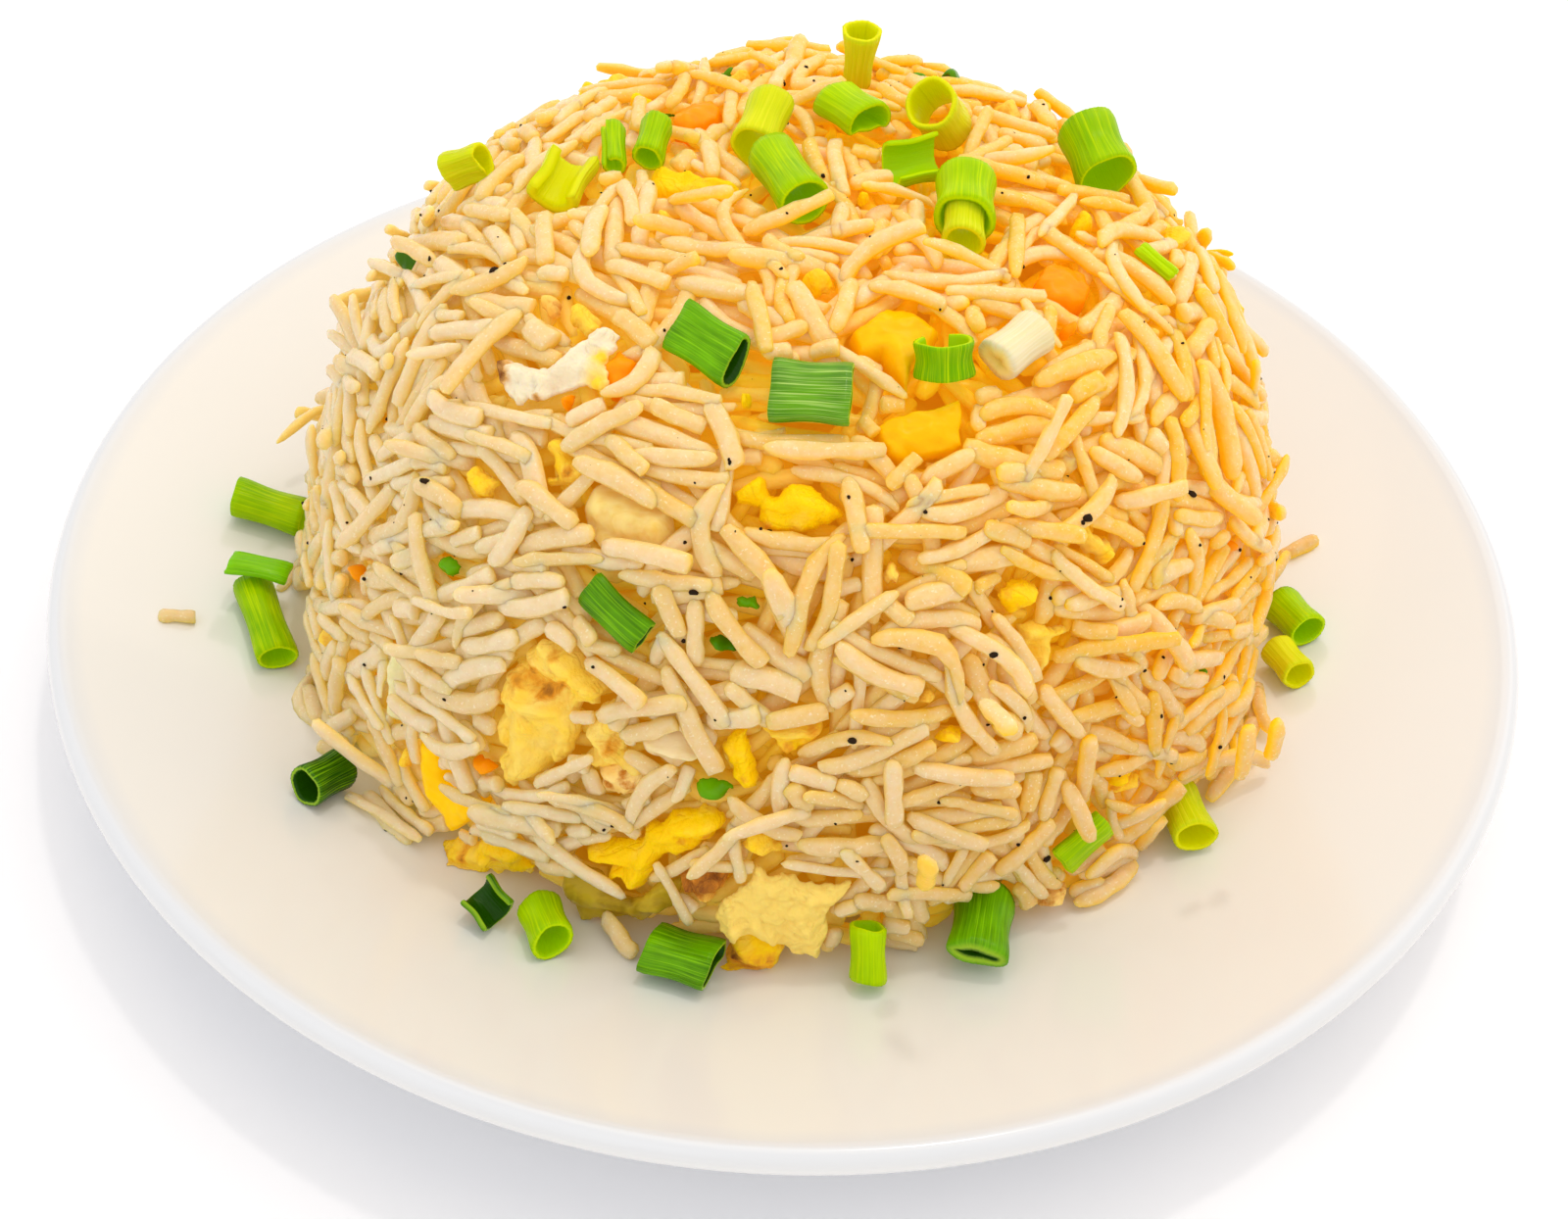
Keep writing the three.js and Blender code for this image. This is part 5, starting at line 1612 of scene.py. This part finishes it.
def rice_finish():
    """Cream rice with painted light and shade: golden with egg and oil to the right, where warm light is
    painted too, painted golden shade down the gaps and under the grains, painted shade at the foot, painted
    glints and painted light from its emission.
    """
    material, tree, shader = new_material("cooked_rice")
    place = object_place(tree)
    across, _, height = split_up(tree, place)
    cloud = clouds(tree, place, 700.0, 3.0, Roughness=0.6)
    pits = clouds(tree, place, 2600.0, 1.0)
    # Toward the right, back and top the grains are more golden: partly more oil and egg, partly painted warm
    # light from that side.
    lean = add_node(tree, "ShaderNodeVectorMath", {
        0: place, 1: (14.0, 4.0, 9.0)}, operation="DOT_PRODUCT").outputs["Value"]
    oil_and_warm_light = ramp(tree, lean, -0.35, 0.75)
    foot = ramp(tree, height, 0.055, 0.02)

    tone = ramp(tree, math_node(tree, "MULTIPLY_ADD", cloud, 1.8, read_attribute(tree, "tone")), 0.65, 2.2)
    cream = blend(tree, tone, (0.74, 0.55, 0.26, 1), (0.83, 0.69, 0.48, 1))
    oily_warm_lit = blend(tree, tone, (0.9, 0.52, 0.05, 1), (0.93, 0.68, 0.39, 1))
    # Painted shade: darker toward the foot of the heap.
    oily_warm_lit = blend(tree, foot, oily_warm_lit, (0.84, 0.84, 0.86, 1), "MULTIPLY")
    # Painted glints: small whitish spots in the grains' colour.
    painted_glint = ramp(tree, pits, 0.65, 0.72, high=0.4)
    outer = blend(tree, painted_glint, blend(tree, oil_and_warm_light, cream, oily_warm_lit), (0.96, 0.9, 0.74, 1))

    # Painted shade: the grains' lower sides, and grains that lie deeper in the heap, take a golden gap
    # colour, more so toward the warm side.
    flank = math_node(tree, "MULTIPLY", ramp(tree, read_attribute(tree, "rise"), 0.38, -0.2),
                      math_node(tree, "MULTIPLY_ADD", oil_and_warm_light, 0.65, 0.46))
    depth_shade = math_node(tree, "MULTIPLY", read_attribute(tree, "depth"),
                        math_node(tree, "MULTIPLY_ADD", oil_and_warm_light, 0.6, 0.75))
    sunk = math_node(tree, "MAXIMUM", depth_shade, flank, use_clamp=True)
    gap = blend(tree, oil_and_warm_light, (0.85, 0.6, 0.06, 1), (0.93, 0.53, 0.008, 1))

    # Painted light: the emission lights the gaps and lower sides, strongly at the top and the left and right
    # sides and warmest on the right, dimly low on the front, and faintly all over.
    lit = math_node(tree, "MULTIPLY", oil_and_warm_light, math_node(tree, "MULTIPLY_ADD", foot, -0.6, 1.0))
    painted_glow = blend(tree, lit, (1, 0.72, 0.06, 1), (0.9, 0.5, 0.002, 1))
    aside = math_node(tree, "MAXIMUM", math_node(tree, "MULTIPLY", across, -1.0),
                      math_node(tree, "MULTIPLY", across, 0.7))
    top = ramp(tree, height, 0.056, 0.074, high=math_node(tree, "MULTIPLY_ADD", oil_and_warm_light, -0.45, 1.08))
    thin = math_node(tree, "MAXIMUM", ramp(tree, aside, 0.02, 0.05, high=0.8), top)
    painted_glow = blend(tree, thin, (0.36, 0.21, 0.004, 1), painted_glow)

    rough = math_node(tree, "MULTIPLY_ADD", pits, 0.5, cloud)
    plug(shader, {
        "Base Color": blend(tree, sunk, outer, gap), "Normal": relief(tree, rough, 0.6, 0.2),
        "Emission Color": blend(tree, sunk, (0.11, 0.08, 0.02, 1), painted_glow), "Emission Strength": 0.3,
        "Roughness": 0.22, "Specular IOR Level": 0.1, "Subsurface Weight": 0.6,
        "Subsurface Radius": (1.0, 0.55, 0.25), "Subsurface Scale": 2.2 * MM})
    return material


rice_chance = np.random.default_rng(RICE_SEED)
grains = settle(dome, rice_chance, GRAIN_COUNT, lambda chance: INNER_SPARE, dome_spots, above_plate)
for spots, height in blocked:
    dome.cover(spots, height + np.where(height > dome.limit(spots) + 0.1, BARE_ABOVE_TOPPING, 0))
dome.ceiling[:] = NO_CEILING
grains += settle(dome, rice_chance, GRAIN_COUNT, rough_spare, dome_spots, above_plate)
grains += settle(dome, rice_chance, FILLER_COUNT, lambda chance: FILLER_SPARE, dome_spots, above_plate,
                 broken=1)
grains = [grain for grain in grains if shows(grain)]
for grain in grains:
    under = dome.limit(grain["spot"][None])[0] - grain["top"]
    grain["depth"] = float(np.clip((under + 0.1) / SHADED_DEPTH, 0, 1))
    if under < NEAR_SURFACE and rice_chance.random() < LIFTED_SHARE:
        tilt = rice_chance.uniform(*LIFTED_TILT)
        grain["slope"] += tilt * rice_chance.choice((-1, 1))
        grain["middle"] += tilt * grain["length"] * 0.3
grains.sort(key=lambda grain: np.linalg.norm(grain["spot"]))
rice = rice_finish()
rice_tree = grain_tree(rice)
heap_layers = []
for number, name in enumerate(("rice_crown", "rice_shoulder", "rice_wall")):
    share = slice(len(grains) * number // 3, len(grains) * (number + 1) // 3)
    piece = grown(grain_points(name, dome, grains[share], rice_chance), rice_tree)
    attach(piece, "root")
    heap_layers.append(piece)

# Loose grains on the plate ---------------------------------------------------------------
# Rice that fell off when the bowl was lifted: most lies against the foot of the heap, and a
# few single grains have rolled out on the rim.

LOOSE_SEED = 41
LOOSE_COUNT = 60
OUT_OF_REACH = 40
# Each single grain's place, turn in degrees, length and width.
SINGLE_GRAINS = ((79.6, 5.6, 24, 6.8, 2.5), (55, -57, -58, 8.4, 2.1), (58.5, -55.5, -30, 7.0, 2.3),
                 (17.5, -74, 62, 6.5, 2.4), (22, -72.5, 118, 6.0, 2.3), (-85, -27, 20, 5.0, 2.2))


class PlateBed(Bed):
    """The plate and what lies on it, seen straight down."""

    def stretch(self, spots):
        return np.tile([1.0, 0.0], (len(spots), 1)), np.tile([0.0, 1.0], (len(spots), 1))

    def frames(self, spots):
        axes = np.tile(np.eye(3), (len(spots), 1, 1))
        return np.pad(spots, ((0, 0), (0, 1))), axes[:, 0], axes[:, 1], axes[:, 2]

    def limit(self, spots):
        out = np.linalg.norm(spots, axis=1)
        return plate_top(out) + 2.9 + 3.2 * np.clip(1 - self.gap(spots) / 4, 0, 1)

    def gap(self, spots):
        """How far a point lies from the heap's foot."""
        return np.linalg.norm(spots - DOME_CENTRE, axis=-1) - DOME_RADIUS


def foot_spots(chance):
    """Places near the heap's foot, fewer further out."""
    out = DOME_RADIUS + chance.exponential(0.8, PLACES_TRIED) + 0.6
    turn = chance.uniform(-math.pi, math.pi, PLACES_TRIED)
    return from_middle(turn, out) + DOME_CENTRE


def on_plate(spots, heading, length):
    """Whether both ends of a loose grain stay outside the heap and on the plate."""
    ends = tips(plate_bed, spots, heading, length)
    return ((plate_bed.gap(ends) > -0.5) & (np.linalg.norm(ends, axis=-1) < PLATE_RADIUS - 6)).all(0)


plate_bed = PlateBed(half=PLATE_RADIUS, floor=0)
cells = np.stack(np.meshgrid(*[np.arange(plate_bed.cells)] * 2, indexing="ij"), -1)
lattice = (cells + 0.5) * MAP_CELL - plate_bed.half
plate_bed.height[:] = plate_top(np.linalg.norm(lattice, axis=-1))
plate_bed.height[plate_bed.gap(lattice) < -0.5] += OUT_OF_REACH
for piece in toppings:
    samples = surface_samples(piece.data, SAMPLE_STEP)
    plate_bed.cover(samples[:, :2], samples[:, 2] + OUT_OF_REACH)
loose_chance = np.random.default_rng(LOOSE_SEED)
loose = []
for x, y, spin, length, width in SINGLE_GRAINS:
    spot = np.array([[x, y]])
    middle, slope, top, _ = lie(plate_bed, spot, np.array([math.radians(spin)]), length, width, width * 0.8)
    grain = dict(spot=spot[0], heading=math.radians(spin), length=length, width=width, thick=width * 0.8,
                 middle=middle[0], slope=slope[0], top=top[0])
    plate_bed.raise_to(*footprint(plate_bed, grain))
    loose.append(grain)
loose += settle(plate_bed, loose_chance, LOOSE_COUNT, lambda chance: 0, foot_spots, on_plate)
for grain in loose:
    grain["depth"] = 0
piece = grown(grain_points("rice_loose", plate_bed, loose, loose_chance), rice_tree)
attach(piece, "root")
heap_layers.append(piece)

# Ground black pepper ---------------------------------------------------------------------
# Cracked pepper fried with the rice: a few coarse bits and hundreds of fine ones, stuck to
# the grains by the oil.

PEPPER_SEED = 5
COARSE_PEPPER = (
    (-61.5, 56, 0.9), (24, 70, 0.9), (35, 44, 1.1), (54.5, 39.5, 0.8), (-11, 40.5, 0.8), (12, 36.5, 0.8),
    (-29, 16.5, 0.8), (7, 28.5, 0.7), (29, 9.5, 0.9), (21, 35.5, 0.7), (-47, 39.5, 0.7), (24, 62.5, 0.6),
    (-7.5, 17.5, 0.7), (-41, 1.5, 0.8), (150, 62, 0.9), (-150, 44, 0.8), (118, 36, 0.8), (-100, 52, 0.7))
FINE_PEPPER = 600


def pepper_tree(material):
    """A chipped crumb on every point."""
    tree, given = open_tree("pepper_bits", {"Chips": ("Float", 0.8 * MM)})
    chip = add_node(tree, "GeometryNodeMeshIcoSphere", {"Radius": 0.5, "Subdivisions": 2}).outputs["Mesh"]
    bits = spread_over(tree, given, chip)
    return close_tree(tree, roughened(tree, bits, 1500.0, given["Chips"], 2.9), material)


def pepper_finish():
    """Black to dark brown husk."""
    material, tree, shader = new_material("black_pepper")
    spot = clouds(tree, object_place(tree), 900.0)
    plug(shader, {
        "Base Color": blend(tree, spot, (0.004, 0.003, 0.002, 1), (0.05, 0.025, 0.01, 1)),
        "Roughness": 0.5, "Specular IOR Level": 0.08})
    return material


def dome_spot(azimuth, climb):
    """The map point of a place on the dome given in degrees."""
    return np.array([math.sin(math.radians(azimuth)), math.cos(math.radians(azimuth))]) * dome_arc(climb)


def landed(spots, pieces):
    """Where bits that fall straight in from outside the dome land, and the surface's direction."""
    point, _, _, outward = dome.frames(spots)
    trees = [BVHTree.FromObject(piece, bpy.context.evaluated_depsgraph_get()) for piece in pieces]
    found = []
    for start, inward in zip((point + outward * 12) * MM, -outward):
        hits = [tree.ray_cast(Vector(start), Vector(inward), 24 * MM) for tree in trees]
        hits = [hit for hit in hits if hit[0] is not None]
        if hits:
            where, normal = min(hits, key=lambda hit: hit[3])[:2]
            found.append((np.array(where) / MM, np.array(normal)))
        else:
            found.append(None)
    return found


pepper_chance = np.random.default_rng(PEPPER_SEED)
arc = ARC[-1] * np.sqrt(pepper_chance.random(FINE_PEPPER))
azimuth = pepper_chance.uniform(-math.pi, math.pi, FINE_PEPPER)
spots = np.vstack([[dome_spot(a, c) for a, c, _ in COARSE_PEPPER], from_middle(azimuth, arc)])
fine = 0.16 + 0.34 * pepper_chance.random(FINE_PEPPER) ** 3
sizes = np.append([size for _, _, size in COARSE_PEPPER], fine)
bits = [(hit, size) for hit, size in zip(landed(spots, heap_layers), sizes) if hit]
normal = np.array([hit[1] for hit, _ in bits])
size = np.array([size for _, size in bits])[:, None]
along = unit(np.cross(normal, pepper_chance.normal(size=normal.shape)))
turn = np.stack([along, np.cross(normal, along), normal], 1)
stretched = size * np.stack([pepper_chance.uniform(0.9, 1.7, len(bits)), np.ones(len(bits)),
                             np.full(len(bits), 0.8)], 1)
place = np.array([hit[0] for hit, _ in bits]) + normal * size * 0.12
pepper = grown(point_cloud("black_pepper", place, turn, size=stretched * MM), pepper_tree(pepper_finish()))
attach(pepper, "root")

# Bounds of the CAD parts and of the scene ------------------------------------------------

low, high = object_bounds()
sizes = {"cad": [list(cad_low), list(cad_high)], "visual": [list(low), list(high)]}
